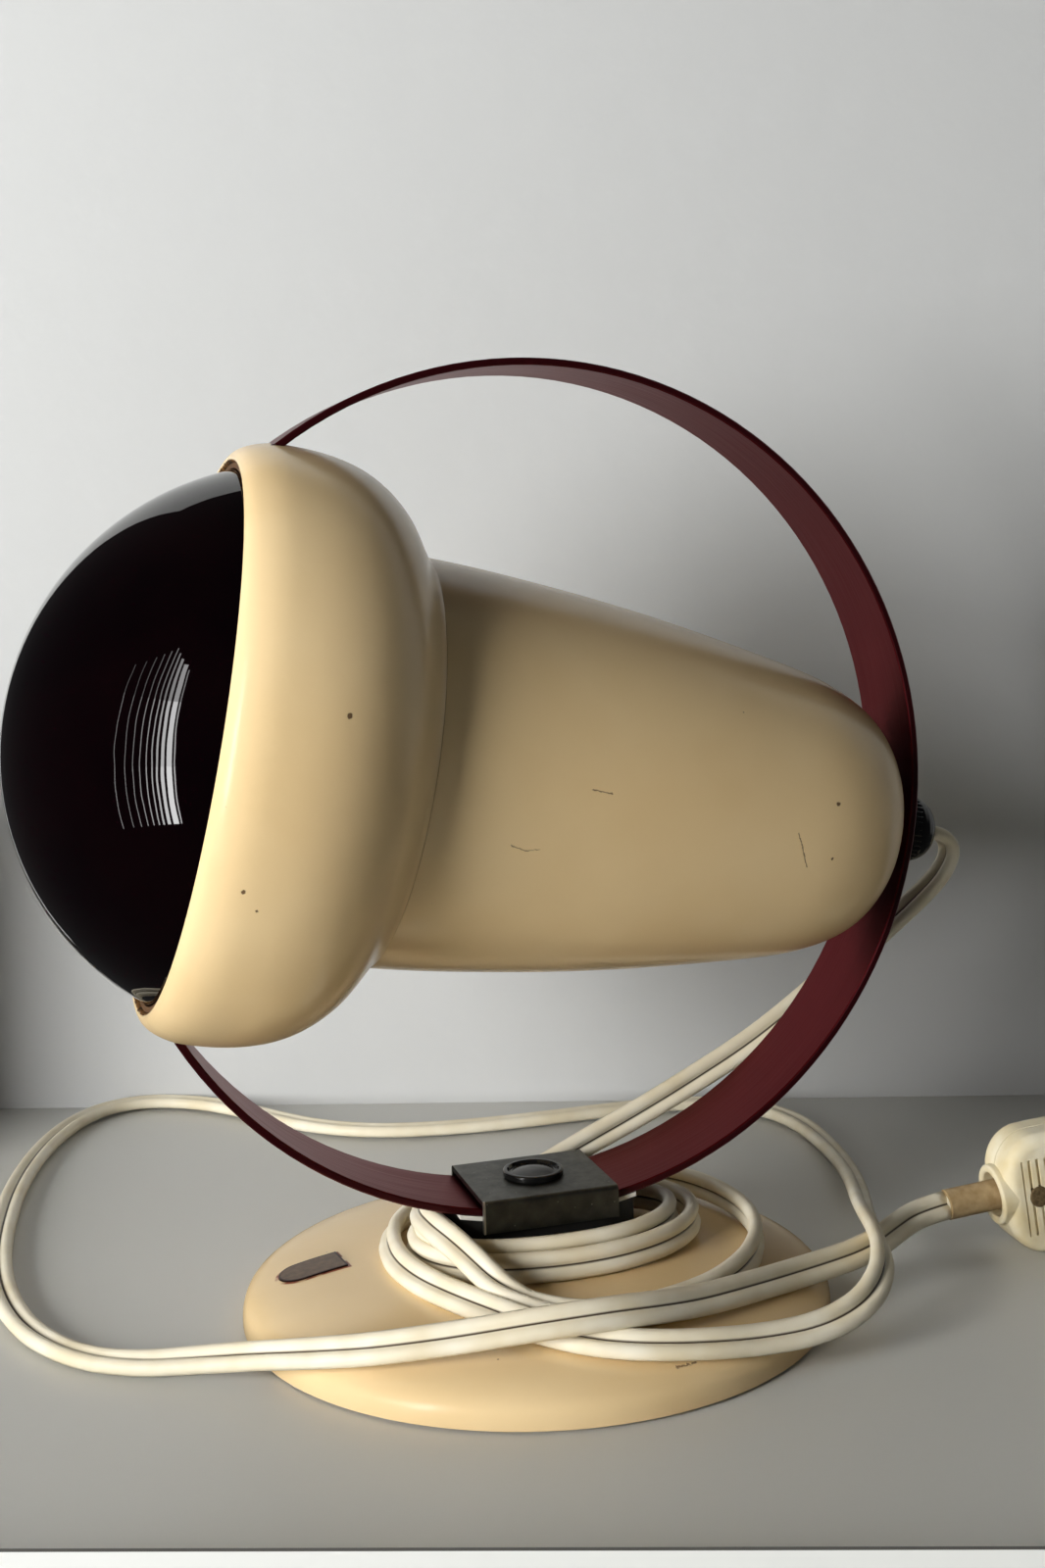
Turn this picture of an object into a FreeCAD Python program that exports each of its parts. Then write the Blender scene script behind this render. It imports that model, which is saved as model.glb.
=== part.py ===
"""Infrared heat lamp: a bell-shaped head held by a flat ring that slides through a saddle on a round base.

Millimetres. +Z is up. The origin is the centre of the base's underside, on the surface the lamp stands on.
The ring's axle line is parallel to Y. The head points towards -X, tilted up at rest.
"""
import FreeCAD, Part
import math
import os

V = FreeCAD.Vector
os.makedirs("parts", exist_ok=True)

# ---------------------------------------------------------------- driving dimensions
FIT = 0.05                    # running and seating clearance, radial or face to face
SHEET_GAP = 0.3               # clearance of loose sheet parts

# ring band
RING_R = 102.5                # outside radius
RING_T = 1.8
RING_W = 26.0
RING_LOW_Z = 24.5             # height of the band's underside over the table
RING_END_SUNK = 1.1           # each end of the band below the bell's widest line
RING_EDGE = 0.35              # broken edge
HEAD_TILT_DEG = 10.8          # rest position, front up

# base
BASE_R = 71.0
BASE_RIM_Z = 1.0              # height at which the dome starts to turn in
BASE_RISE = 12.1              # dome above the rim
DOME_POWER = 3.45             # fullness of the dome's shoulder
BASE_WALL = 1.2
SHELL_LIFT = 0.6              # pressed shell's edge above the table
PAD_INSET = 2.4               # pad, cover and weight, each inside the base's rim
PAD_T = 1.5
COVER_INSET = 5.0
COVER_T = 1.0
WEIGHT_INSET = 9.0
WEIGHT_T = 5.2
WEIGHT_CHAMFER = 2.2
SPACER_IN_R = 21.0
SPACER_WALL = 5.0
COVER_SCREW_INSET = 23.0      # cover screws, in from the base's rim
COVER_SCREW_R = 1.2
COVER_SCREW_HEAD_R = 2.2
COVER_SCREW_HEAD_T = 0.9
COVER_SCREW_BITE = 2.6        # thread in the weight
COVER_SCREWS_AT = (90, 210, 330)

# pedestal and saddle
PEDESTAL_L = 50.0
PEDESTAL_W = 26.6
SHOE_T = 1.0                  # slide strip under the ring
SHOE_L = 44.0
SADDLE_L = 33.6
SADDLE_W = 30.0
SADDLE_T = 1.2
SADDLE_OVER_RING = 5.2        # top of the saddle over the band's underside
SADDLE_UNDER_RING = 2.2       # its cheeks' lower edge under it
SADDLE_EDGE_R = 1.0
HOOK_L = 16.0
HOOK_W = 1.4                  # turned in from the cheek
HOOK_H = 1.2
PRESS_L = 24.0                # friction block over the ring
PRESS_W = 25.0
SPRING_T = 0.4
BOSS_R = 6.0                  # stud that carries the button through the saddle
BUTTON_R = 7.4
BUTTON_RIM = 1.3
BUTTON_H = 1.7
MOUNT_SCREW_X = 13.0
MOUNT_SCREW_R = 2.0
MOUNT_SCREW_HEAD_R = 3.8
MOUNT_SCREW_HEAD_T = 2.2
MOUNT_SCREW_UNDER_RING = 3.5  # end of the screw's hole
INSERT_R = 3.0
WASHER_R = 4.8
WASHER_T = 0.8

# bulb: radii, and lengths along the head's axis, which runs forward from the ring's centre
BULB_R = 62.5
DOME_FLATNESS = 4.7           # the front glass's radius over the bulb's own
BULB_LIP = 0.35               # the front glass's edge inside the bulb's widest line
BULB_EDGE_L = 2.56            # rounded edge between the front glass and the widest line
GLASS = 1.3
NECK_R = 18.0
BULB_L = 107.0                # from the widest line back to the neck's end
SPLIT_BACK = 2.0              # where the ruby front meets the silvered bowl, behind the widest line
SEAL_W = 4.5
STEM_L = 52.0
STEM_R = 3.2
STEM_FLARE_L = 20.0
FILAMENT_SPAN = 12.0
FILAMENT_ZIGZAGS = 6
FILAMENT_DEPTH = 2.7
FILAMENT_R = 0.55
FILAMENT_LEAD_R = 0.5
FILAMENT_LEAD_L = 14.0

# head shells: radii, and lengths along the head's axis
SHEET = 1.2                   # wall of both spun shells
LIP_CLEAR = 1.5               # room between the bulb and the bell's lip
HEM_DEPTH = 5.0
MOUTH_FRONT = 8.3             # mouth, in front of where the ring enters the bell
BELLY_BACK = 4.7              # widest line, behind it
BELLY_BULGE = 6.2             # widest line, outside the lip
BELL_L = 36.4                 # from the widest line back to the crease
CREASE_DROP = 20.3            # the crease inside the widest line
CREASE_STEP = 0.45            # the rear shell inside the crease
CREASE_GAP = 0.25             # between the bell's edge and the rear shell
END_BLOCK_L = 16.0
END_BLOCK_W = 15.0
END_BLOCK_H = 10.0
END_BLOCK_FRONT = 3.5         # the block's front face before the widest line
END_BLOCK_CLEAR = 2.2         # room between the bulb and the block
COLLAR_L = 8.0                # the bell's neck inside the rear shell
COLLAR_EASE = 0.6             # the neck inside the rear shell's front edge
TAIL_GAP = 4.9                # room for the collar between tail and ring
TAIL_SEAT_R = 9.0
TAIL_L = 34.6                 # the rounded end of the rear shell
CONE_TAPER = 11.6             # from its front edge to the start of the rounded end

# screw cap and lampholder
CAP_R = 13.2
CAP_L = 23.0
THREAD_PITCH = 3.6
THREAD_DEPTH = 0.8
CONTACT_R = 4.5
HOLDER_R = 20.0
HOLDER_GAP = 1.0              # holder's mouth behind the end of the bulb's neck
HOLDER_L = 37.0
HOLDER_FLOOR = 8.0            # depth behind the bulb's cap
HOLDER_BORE = 14.9
SPRING_ROOM = 2.5             # between the holder's floor and the end of the flex
TONGUE_W = 5.0
TONGUE_T = 0.6
TONGUE_OUT = 12.5             # foot of the centre contact, off the axis
TONGUE_FOOT = 5.5
SLEEVE_T = 0.6
NIPPLE_R = 5.0
NIPPLE_BORE = 3.6
HEX_AF = 14.0
HEX_T = 3.0

# rear nut that clamps holder, tail and ring
KNOB_R = 8.6
KNOB_L = 10.6
KNOB_RIM_L = 4.0
KNOB_TIP_R = 4.4
KNOB_FLUTES = 36
KNOB_FLUTE_R = 0.42
CORD_HOLE_R = 2.45

# badge plate on the base
BADGE_L = 15.7
BADGE_W = 10.4
BADGE_T = 0.4
BADGE_INSET = 16.3            # middle of the plate, in from the base's rim
BADGE_AROUND_DEG = 168.2
BADGE_TURN_DEG = 6.0
BADGE_ROUND = 0.85            # length of the round end over half the plate's width

# flex: a round tube with the same section area as the flat twin flex, which is 7.0 x 3.5
CORD_D = 4.8
COIL_X = 5.6
COIL_Y = -2.0
COIL_OUT_L = 77.0
COIL_OUT_W = 48.2
COIL_TURNS_T = 6.9
COIL_Z = 12.8
COIL_H = 7.4

# plug
PLUG_L = 35.0
PLUG_H = 30.0
PLUG_W = 15.0
PLUG_ROUND = 10.0             # corners at the cord's end
PLUG_NOSE_ROUND = 3.0         # corners at the pins' end
PLUG_EDGE = 3.0
PLUG_WALL = 6.0               # above and below the pins' chamber
PLUG_SIDE_WALL = 3.5          # beside it
PLUG_LEAD_L = 4.0             # flex beyond the plug's screw
PLUG_X = 120.6
PLUG_Y = -12.5
PLUG_Z = 13.95                # middle of the cord's end above the table
PLUG_YAW_DEG = -5.0
PLUG_PITCH_DEG = 6.0          # pins up
PLUG_SEAM = 0.3
GRIP_X = 4.2                  # sunk grip panel with upright ribs flush with the face
GRIP_L = 27.0
GRIP_H = 19.0
GRIP_DEPTH = 0.9
PLUG_RIBS = 12
RIB_W = 1.3
RIB_PITCH = 2.25
COLLAR_R = 7.4
COLLAR_IN_R = 5.4
COLLAR_OUT = 1.6
COLLAR_IN = 2.4
STRAIN_R = 3.7
STRAIN_OUT = 14.0
STRAIN_IN = 6.0
PIN_R = 2.4
PIN_LEN = 19.0
PIN_PITCH = 19.0
PIN_ROOT = 12.0
PIN_ROOT_R = 2.0
PIN_SHOULDER = 0.5            # bare root between the plug's end and the full pin
PIN_TIP = 1.0
PLUG_SCREW_X = 8.2
PLUG_SCREW_R = 2.6
PLUG_SCREW_SHANK_R = 1.5

# ---------------------------------------------------------------- what follows from them
RING_IN_R = RING_R - RING_T
RING_CENTRE_Z = RING_LOW_Z + RING_R
PAD_R = BASE_R - PAD_INSET
COVER_R = BASE_R - COVER_INSET
WEIGHT_R = BASE_R - WEIGHT_INSET
SADDLE_TOP_Z = RING_LOW_Z + SADDLE_OVER_RING
SADDLE_FLANGE_Z = RING_LOW_Z - SADDLE_UNDER_RING
MOUNT_SCREW_TOP = RING_LOW_Z - MOUNT_SCREW_UNDER_RING

LIP_R = BULB_R + LIP_CLEAR
BELLY_R = LIP_R + BELLY_BULGE
RING_END_R = BELLY_R - RING_END_SUNK
RING_END_S = math.sqrt(RING_R ** 2 - RING_END_R ** 2)
RING_END_DEG = math.degrees(math.asin(RING_END_R / RING_R))
MOUTH_S = RING_END_S + MOUTH_FRONT
BELLY_S = RING_END_S - BELLY_BACK
CREASE_S = BELLY_S - BELL_L
CREASE_R = BELLY_R - CREASE_DROP
TAIL_S = TAIL_GAP - RING_R
CONE_END_S = TAIL_S + TAIL_L
CONE_START_S = CREASE_S - CREASE_GAP
CONE_START_R = CREASE_R - CREASE_STEP
CONE_END_R = CONE_START_R - CONE_TAPER

DOME_R = BULB_R + DOME_FLATNESS
BULB_EDGE_S = MOUTH_S - SHEET - SEAL_W * 0.4
DOME_EDGE_R = BULB_R - BULB_LIP
APEX_S = BULB_EDGE_S + BULB_EDGE_L + DOME_R - math.sqrt(DOME_R ** 2 - DOME_EDGE_R ** 2)
SPLIT_S = BULB_EDGE_S - SPLIT_BACK
NECK_END_S = BULB_EDGE_S - BULB_L
HOLDER_S = NECK_END_S - HOLDER_GAP
HOLDER_FLOOR_S = NECK_END_S - CAP_L - HOLDER_FLOOR

BADGE_X = (BASE_R - BADGE_INSET) * math.cos(math.radians(BADGE_AROUND_DEG))
BADGE_Y = (BASE_R - BADGE_INSET) * math.sin(math.radians(BADGE_AROUND_DEG))

ORIGIN = V(0, 0, 0)
X_AXIS = V(1, 0, 0)
Y_AXIS = V(0, 1, 0)
Z_AXIS = V(0, 0, 1)
HEAD = FreeCAD.Placement(
    V(0, 0, RING_CENTRE_Z),
    FreeCAD.Rotation(Y_AXIS, HEAD_TILT_DEG) * FreeCAD.Rotation(Z_AXIS, 180),
)


# ---------------------------------------------------------------- helpers
def save(name, *solids):
    """Write one node as STEP and print what it is."""
    shape = solids[0] if len(solids) == 1 else Part.makeCompound(list(solids))
    shape.exportStep("parts/%s.step" % name)
    box = shape.BoundBox
    print("%-20s solids %2d  volume %9.1f  z %7.2f..%7.2f  valid %s" % (
        name, len(shape.Solids), shape.Volume, box.ZMin, box.ZMax, shape.isValid()))
    return shape


def at(point):
    """A point of a half section, (along or out, up), in the XZ plane."""
    return V(point[0], 0, point[1])


def outline(start, *legs):
    """Closed face from start along legs: a point, ("arc", via, end) or ("curve", points)."""
    edges = []
    here = at(start)
    for leg in legs:
        if leg[0] == "arc":
            edges.append(Part.Arc(here, at(leg[1]), at(leg[2])).toShape())
            here = at(leg[2])
        elif leg[0] == "curve":
            spline = Part.BSplineCurve()
            points = [here] + [at(p) for p in leg[1]]
            spline.interpolate(points)
            edges.append(spline.toShape())
            here = points[-1]
        else:
            edges.append(Part.makeLine(here, at(leg)))
            here = at(leg)
    if here.distanceToPoint(at(start)) > 1e-6:
        edges.append(Part.makeLine(here, at(start)))
    return Part.Face(Part.Wire(edges))


def turned_on_x(face):
    return face.revolve(ORIGIN, X_AXIS, 360)


def turned_on_z(face):
    return face.revolve(ORIGIN, Z_AXIS, 360)


def tube_on_x(s_from, s_to, outer, inner=0.0):
    low, high = min(s_from, s_to), max(s_from, s_to)
    body = Part.makeCylinder(outer, high - low, V(low, 0, 0), X_AXIS)
    if inner > 0:
        body = body.cut(Part.makeCylinder(inner, high - low, V(low, 0, 0), X_AXIS))
    return body


def offset_points(points, distance):
    """Points of a half section moved square to their line by distance, to the left of its direction."""
    moved = []
    for i, (a, b) in enumerate(points):
        before = points[max(i - 1, 0)]
        after = points[min(i + 1, len(points) - 1)]
        da, db = after[0] - before[0], after[1] - before[1]
        size = math.hypot(da, db)
        moved.append((a - db / size * distance, b + da / size * distance))
    return moved


def in_head(shape):
    """Move a piece drawn on the head's own axis into place."""
    moved = shape.copy()
    moved.Placement = HEAD.multiply(moved.Placement)
    return moved


def stadium(length, width, height, z, centre_x=0.0):
    """Upright block with half-round ends, long side along X."""
    half = length / 2 - width / 2
    r = width / 2
    left, right = centre_x - half, centre_x + half
    edges = [
        Part.makeLine(V(left, -r, z), V(right, -r, z)),
        Part.Arc(V(right, -r, z), V(right + r, 0, z), V(right, r, z)).toShape(),
        Part.makeLine(V(right, r, z), V(left, r, z)),
        Part.Arc(V(left, r, z), V(left - r, 0, z), V(left, -r, z)).toShape(),
    ]
    return Part.Face(Part.Wire(edges)).extrude(V(0, 0, height))


def block(length, width, z_low, z_high, x=0.0, y=0.0):
    return Part.makeBox(length, width, z_high - z_low, V(x - length / 2, y - width / 2, z_low))


def ring_cylinder(radius, width):
    """Solid round the ring's axle line."""
    return Part.makeCylinder(radius, width, V(0, -width / 2, RING_CENTRE_Z), Y_AXIS)


def dome_z(radius, wall=0.0):
    """Height of the base's dome, or of its inner face one wall below."""
    share = max(0.0, 1 - (radius / (BASE_R - wall)) ** 2)
    return BASE_RIM_Z + (BASE_RISE - wall) * share ** (1 / DOME_POWER)


def dome_points(wall=0.0, lift=0.0):
    """Half section of the dome from its rim to its top."""
    heights = (0.0, 0.16, 0.32, 0.46, 0.60, 0.74, 0.86, 0.95, 1.0)
    reach = BASE_R - wall
    return [
        (reach * math.sqrt(1 - share ** DOME_POWER), BASE_RIM_Z + lift + (BASE_RISE - wall) * share)
        for share in heights
    ]


def dome_body(lift=0.0):
    """The whole space under the dome, raised by lift."""
    points = dome_points(0.0, lift)
    return turned_on_z(outline((0, 0), (BASE_R, 0), points[0], ("curve", points[1:])))


# ---------------------------------------------------------------- base
def base_shell():
    outer = dome_points()
    inner = dome_points(BASE_WALL)
    inner.reverse()
    face = outline(
        (BASE_R - BASE_WALL, SHELL_LIFT), (BASE_R, SHELL_LIFT), outer[0], ("curve", outer[1:]),
        inner[0], ("curve", inner[1:]),
    )
    shell = turned_on_z(face)
    for x in (-MOUNT_SCREW_X, MOUNT_SCREW_X):
        shell = shell.cut(Part.makeCylinder(MOUNT_SCREW_R + FIT, BASE_RISE * 2, V(x, 0, 0)))
    return shell


def base_weight():
    low = PAD_T + COVER_T
    high = low + WEIGHT_T
    face = outline(
        (0, low), (WEIGHT_R, low), (WEIGHT_R, high - WEIGHT_CHAMFER),
        (WEIGHT_R - WEIGHT_CHAMFER * 2, high), (0, high),
    )
    weight = turned_on_z(face)
    for x in (-MOUNT_SCREW_X, MOUNT_SCREW_X):
        weight = weight.cut(Part.makeCylinder(MOUNT_SCREW_R + FIT, high * 2, V(x, 0, 0)))
        sunk = MOUNT_SCREW_HEAD_T + WASHER_T + FIT
        weight = weight.cut(Part.makeCylinder(WASHER_R + FIT, low + sunk, V(x, 0, 0)))
    for x, y in cover_screw_places():
        weight = weight.cut(Part.makeCylinder(COVER_SCREW_R, low + COVER_SCREW_BITE, V(x, y, 0)))
    return weight


def spacer_ring():
    """Moulded collar that centres the weight under the dome and takes up the height above it."""
    low = PAD_T + COVER_T + WEIGHT_T
    outer = SPACER_IN_R + SPACER_WALL
    top = dome_z(outer, BASE_WALL) - FIT
    ring = Part.makeCylinder(outer, top - low, V(0, 0, low))
    return ring.cut(Part.makeCylinder(SPACER_IN_R, top - low, V(0, 0, low)))


def cover_screw_places():
    radius = BASE_R - COVER_SCREW_INSET
    angles = [math.radians(a) for a in COVER_SCREWS_AT]
    return [(radius * math.cos(a), radius * math.sin(a)) for a in angles]


def base_cover():
    cover = Part.makeCylinder(COVER_R, COVER_T, V(0, 0, PAD_T))
    for x, y in cover_screw_places():
        cover = cover.cut(Part.makeCylinder(COVER_SCREW_R, COVER_T * 2, V(x, y, PAD_T - COVER_T / 2)))
    return cover


def cover_screws():
    low = PAD_T - COVER_SCREW_HEAD_T
    screws = []
    for x, y in cover_screw_places():
        head = Part.makeCylinder(COVER_SCREW_HEAD_R, COVER_SCREW_HEAD_T, V(x, y, low))
        shank = Part.makeCylinder(COVER_SCREW_R, COVER_T + COVER_SCREW_BITE, V(x, y, PAD_T))
        screws.append(head.fuse(shank).removeSplitter())
    return screws


def base_pad():
    pad = Part.makeCylinder(PAD_R, PAD_T, ORIGIN)
    for x, y in cover_screw_places():
        low = PAD_T - COVER_SCREW_HEAD_T - SHEET_GAP / 2
        pad = pad.cut(Part.makeCylinder(COVER_SCREW_HEAD_R + SHEET_GAP / 2, PAD_T, V(x, y, low)))
    return pad


def badge_plate():
    """Blank plate with one round end, pressed to the dome's curve."""
    r = BADGE_W / 2
    half = BADGE_L / 2
    straight = -half + r * BADGE_ROUND
    edges = [
        Part.makeLine(V(half, r, 0), V(half, -r, 0)),
        Part.makeLine(V(half, -r, 0), V(straight, -r, 0)),
        Part.Arc(V(straight, -r, 0), V(-half, 0, 0), V(straight, r, 0)).toShape(),
        Part.makeLine(V(straight, r, 0), V(half, r, 0)),
    ]
    prism = Part.Face(Part.Wire(edges)).extrude(V(0, 0, BASE_R))
    prism.Placement = FreeCAD.Placement(V(BADGE_X, BADGE_Y, 0), FreeCAD.Rotation(Z_AXIS, BADGE_TURN_DEG))
    return prism.common(dome_body(FIT + BADGE_T).cut(dome_body(FIT)))


def pedestal():
    body = stadium(PEDESTAL_L, PEDESTAL_W, SADDLE_TOP_Z - BASE_RIM_Z, BASE_RIM_Z)
    body = body.cut(dome_body(FIT))
    body = body.cut(ring_cylinder(RING_R + FIT + SHOE_T, RING_W * 2))
    for x in (-MOUNT_SCREW_X, MOUNT_SCREW_X):
        body = body.cut(Part.makeCylinder(INSERT_R, MOUNT_SCREW_TOP, V(x, 0, 0)))
    notch_w = HOOK_W + FIT
    for side in (-1, 1):
        y = side * (SADDLE_W / 2 - SADDLE_T - notch_w / 2)
        notch = block(HOOK_L + 2 * FIT, notch_w, SADDLE_FLANGE_Z - FIT, SADDLE_FLANGE_Z + HOOK_H + FIT, 0, y)
        body = body.cut(notch)
    return body


def pedestal_inserts():
    inserts = []
    for x in (-MOUNT_SCREW_X, MOUNT_SCREW_X):
        low = dome_z(MOUNT_SCREW_X + INSERT_R) + 2 * FIT + 0.4
        body = Part.makeCylinder(INSERT_R - FIT, MOUNT_SCREW_TOP - low, V(x, 0, low))
        inserts.append(body.cut(Part.makeCylinder(MOUNT_SCREW_R + FIT, MOUNT_SCREW_TOP, V(x, 0, 0))))
    return inserts


def pedestal_screws():
    low = PAD_T + COVER_T
    screws = []
    for x in (-MOUNT_SCREW_X, MOUNT_SCREW_X):
        head = Part.makeCylinder(MOUNT_SCREW_HEAD_R, MOUNT_SCREW_HEAD_T, V(x, 0, low))
        slot = block(MOUNT_SCREW_HEAD_R * 2, 0.8, low, low + 0.9, x)
        shank = Part.makeCylinder(MOUNT_SCREW_R, MOUNT_SCREW_TOP - low - 1.0, V(x, 0, low))
        screws.append(head.fuse(shank).removeSplitter().cut(slot))
    return screws


def pedestal_washers():
    low = PAD_T + COVER_T + MOUNT_SCREW_HEAD_T
    washers = []
    for x in (-MOUNT_SCREW_X, MOUNT_SCREW_X):
        disc = Part.makeCylinder(WASHER_R, WASHER_T, V(x, 0, low))
        washers.append(disc.cut(Part.makeCylinder(MOUNT_SCREW_R + FIT, WASHER_T, V(x, 0, low))))
    return washers


# ---------------------------------------------------------------- saddle that the ring slides through
def slide_shoe():
    """Nylon strip let into the pedestal's hollow top, on which the ring slides."""
    strip = block(SHOE_L, PEDESTAL_W - 1.0, RING_LOW_Z - 2 * SHOE_T, RING_CENTRE_Z)
    strip = strip.common(ring_cylinder(RING_R + SHOE_T, RING_W * 2))
    return strip.cut(ring_cylinder(RING_R + FIT, RING_W * 2))


def saddle():
    """U-shaped steel cover: flat top, two cheeks, and hooks turned in under the pedestal's lug."""
    outer = block(SADDLE_L, SADDLE_W, SADDLE_FLANGE_Z, SADDLE_TOP_Z)
    long_edges = [
        e for e in outer.Edges
        if abs(e.BoundBox.ZMin - SADDLE_TOP_Z) < 0.01 and e.BoundBox.XLength > SADDLE_L / 2
    ]
    outer = outer.makeFillet(SADDLE_EDGE_R, long_edges)
    inner_w = SADDLE_W - 2 * SADDLE_T
    cover = outer.cut(block(SADDLE_L * 2, inner_w, SADDLE_FLANGE_Z - 1, SADDLE_TOP_Z - SADDLE_T))
    hook_top = SADDLE_FLANGE_Z + HOOK_H
    for side in (-1, 1):
        y = side * (inner_w / 2 - HOOK_W / 2)
        cover = cover.fuse(block(HOOK_L, HOOK_W, SADDLE_FLANGE_Z, hook_top, 0, y))
    cover = cover.removeSplitter()
    foot = V(0, 0, SADDLE_TOP_Z - SADDLE_T * 2)
    return cover.cut(Part.makeCylinder(BOSS_R + SHEET_GAP, SADDLE_T * 4, foot))


def press_block():
    """Friction block that rides on the ring's hollow side, pushed down by the spring under the saddle."""
    top = SADDLE_TOP_Z - SADDLE_T - SPRING_T - 3 * FIT
    body = block(PRESS_L, PRESS_W, RING_CENTRE_Z - RING_IN_R - 1, top)
    body = body.common(ring_cylinder(RING_IN_R - FIT, RING_W * 2))
    return body.fuse(Part.makeCylinder(BOSS_R, SADDLE_TOP_Z + FIT - top, V(0, 0, top))).removeSplitter()


def press_spring():
    """Spring plate between the saddle's top and the friction block."""
    low = SADDLE_TOP_Z - SADDLE_T - SPRING_T - FIT
    plate = block(PRESS_L - 2, PRESS_W - 3, low, low + SPRING_T)
    return plate.cut(Part.makeCylinder(BOSS_R + SHEET_GAP, SPRING_T, V(0, 0, low)))


def saddle_button():
    """Round cap in the saddle's hole: raised rim, low dome, no mark."""
    low = SADDLE_TOP_Z + FIT
    rim_in = BUTTON_R - BUTTON_RIM
    high = SADDLE_TOP_Z + BUTTON_H
    groove = high - 0.7
    face = outline(
        (0, low), (BUTTON_R - 0.3, low), (BUTTON_R, low + 0.4), (BUTTON_R, high - 0.5),
        ("arc", (BUTTON_R - 0.15, high - 0.15), (BUTTON_R - 0.5, high)),
        (rim_in + 0.3, high), (rim_in - 0.1, groove), (rim_in - 0.9, groove),
        ("arc", ((rim_in - 0.9) * 0.6, high - 0.2), (1.2, high)), (0, high),
    )
    return turned_on_z(face)


# ---------------------------------------------------------------- ring
def ring_section(radius_in, radius_out, width, angle_deg, edge):
    """Cross-section of the band at an angle from the head's axis, in the head's own frame."""
    a = math.radians(angle_deg)
    out = V(math.cos(a), 0, math.sin(a))
    corners = []
    for r, y, turn in (
        (radius_in, -width / 2, (0, 1)), (radius_in, width / 2, (0, -1)),
        (radius_out, width / 2, (0, -1)), (radius_out, -width / 2, (0, 1)),
    ):
        sign_r = 1 if r == radius_in else -1
        first = V(out) * (r + sign_r * edge) + V(0, y, 0)
        second = V(out) * r + V(0, y + turn[1] * edge, 0)
        corners.append((first, second))
    order = [
        corners[0][0], corners[0][1], corners[1][1], corners[1][0],
        corners[2][0], corners[2][1], corners[3][1], corners[3][0],
    ]
    return Part.Face(Part.makePolygon(order + [order[0]]))


def ring_sweep(radius_in, radius_out, width, start_deg, edge):
    face = ring_section(radius_in, radius_out, width, start_deg, edge)
    return face.revolve(ORIGIN, V(0, -1, 0), 360 - 2 * start_deg)


def ring_band():
    band = ring_sweep(RING_IN_R, RING_R, RING_W, RING_END_DEG, RING_EDGE)
    return band.cut(tube_on_x(-RING_R - 5, -RING_IN_R + 5, NIPPLE_R + FIT))


# ---------------------------------------------------------------- head shells
def bell_points():
    """Half section of the bell's outside, from the crease forward to the mouth."""
    back = BELLY_S - CREASE_S
    drop = BELLY_R - CREASE_R
    front = MOUTH_S - BELLY_S
    fall = BELLY_R - (LIP_R + SHEET)
    behind = [(0, 0), (0.02, 0.025), (0.05, 0.09), (0.12, 0.276), (0.20, 0.473), (0.30, 0.644),
              (0.42, 0.789), (0.56, 0.898), (0.70, 0.960), (0.85, 0.993), (1, 1)]
    ahead = [(0.40, 0.07), (0.70, 0.30), (0.92, 0.66), (1, 1)]
    return (
        [(CREASE_S + a * back, CREASE_R + b * drop) for a, b in behind]
        + [(BELLY_S + a * front, BELLY_R - b * fall) for a, b in ahead]
    )


def bell_inside():
    """Half section of the bell's inner face, from the mouth back to the crease."""
    inner = offset_points(bell_points(), -SHEET)[:-2]
    inner.reverse()
    return inner


def bell_shell():
    outer = bell_points()
    inner = bell_inside()
    hem_back = MOUTH_S - HEM_DEPTH
    collar_r = CONE_START_R - SHEET - COLLAR_EASE
    collar_back = CREASE_S - COLLAR_L
    face = outline(
        (collar_back, collar_r), (CREASE_S, collar_r), (CREASE_S, CREASE_R), ("curve", outer[1:]),
        ("arc", (MOUTH_S - 0.35, LIP_R + 0.35), (MOUTH_S - SHEET, LIP_R)),
        (hem_back, LIP_R), (hem_back, LIP_R + SHEET * 0.8), (MOUTH_S - SHEET * 1.5, LIP_R + SHEET * 0.9),
        (MOUTH_S - SHEET * 1.6, LIP_R + SHEET * 1.5),
        inner[0], ("curve", inner[1:]),
        (CREASE_S + 0.2, collar_r - SHEET), (collar_back, collar_r - SHEET),
    )
    shell = turned_on_x(face)
    slot_w = RING_W + 2 * SHEET_GAP
    slot = ring_sweep(RING_IN_R - SHEET_GAP, RING_R + SHEET_GAP, slot_w, RING_END_DEG - 0.6, 0.0)
    return shell.cut(slot)


def end_blocks():
    """Corner blocks brazed to the ring's ends and welded to the bell's inner wall."""
    inner = bell_inside()
    hollow = turned_on_x(outline((CREASE_S, 0), (CREASE_S, inner[-1][1] - FIT),
                                 ("curve", [(s, r - FIT) for s, r in reversed(inner[:-1])]),
                                 (inner[0][0], 0)))
    hollow = hollow.common(Part.makeCylinder(RING_IN_R, RING_W * 2, V(0, -RING_W, 0), Y_AXIS))
    bulb_room = BULB_R + END_BLOCK_CLEAR
    blocks = []
    for side in (1, -1):
        low = bulb_room if side > 0 else -bulb_room - END_BLOCK_H
        corner = V(BELLY_S + END_BLOCK_FRONT - END_BLOCK_L, -END_BLOCK_W / 2, low)
        slab = Part.makeBox(END_BLOCK_L, END_BLOCK_W, END_BLOCK_H, corner)
        blocks.append(slab.common(hollow))
    return blocks


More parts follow.
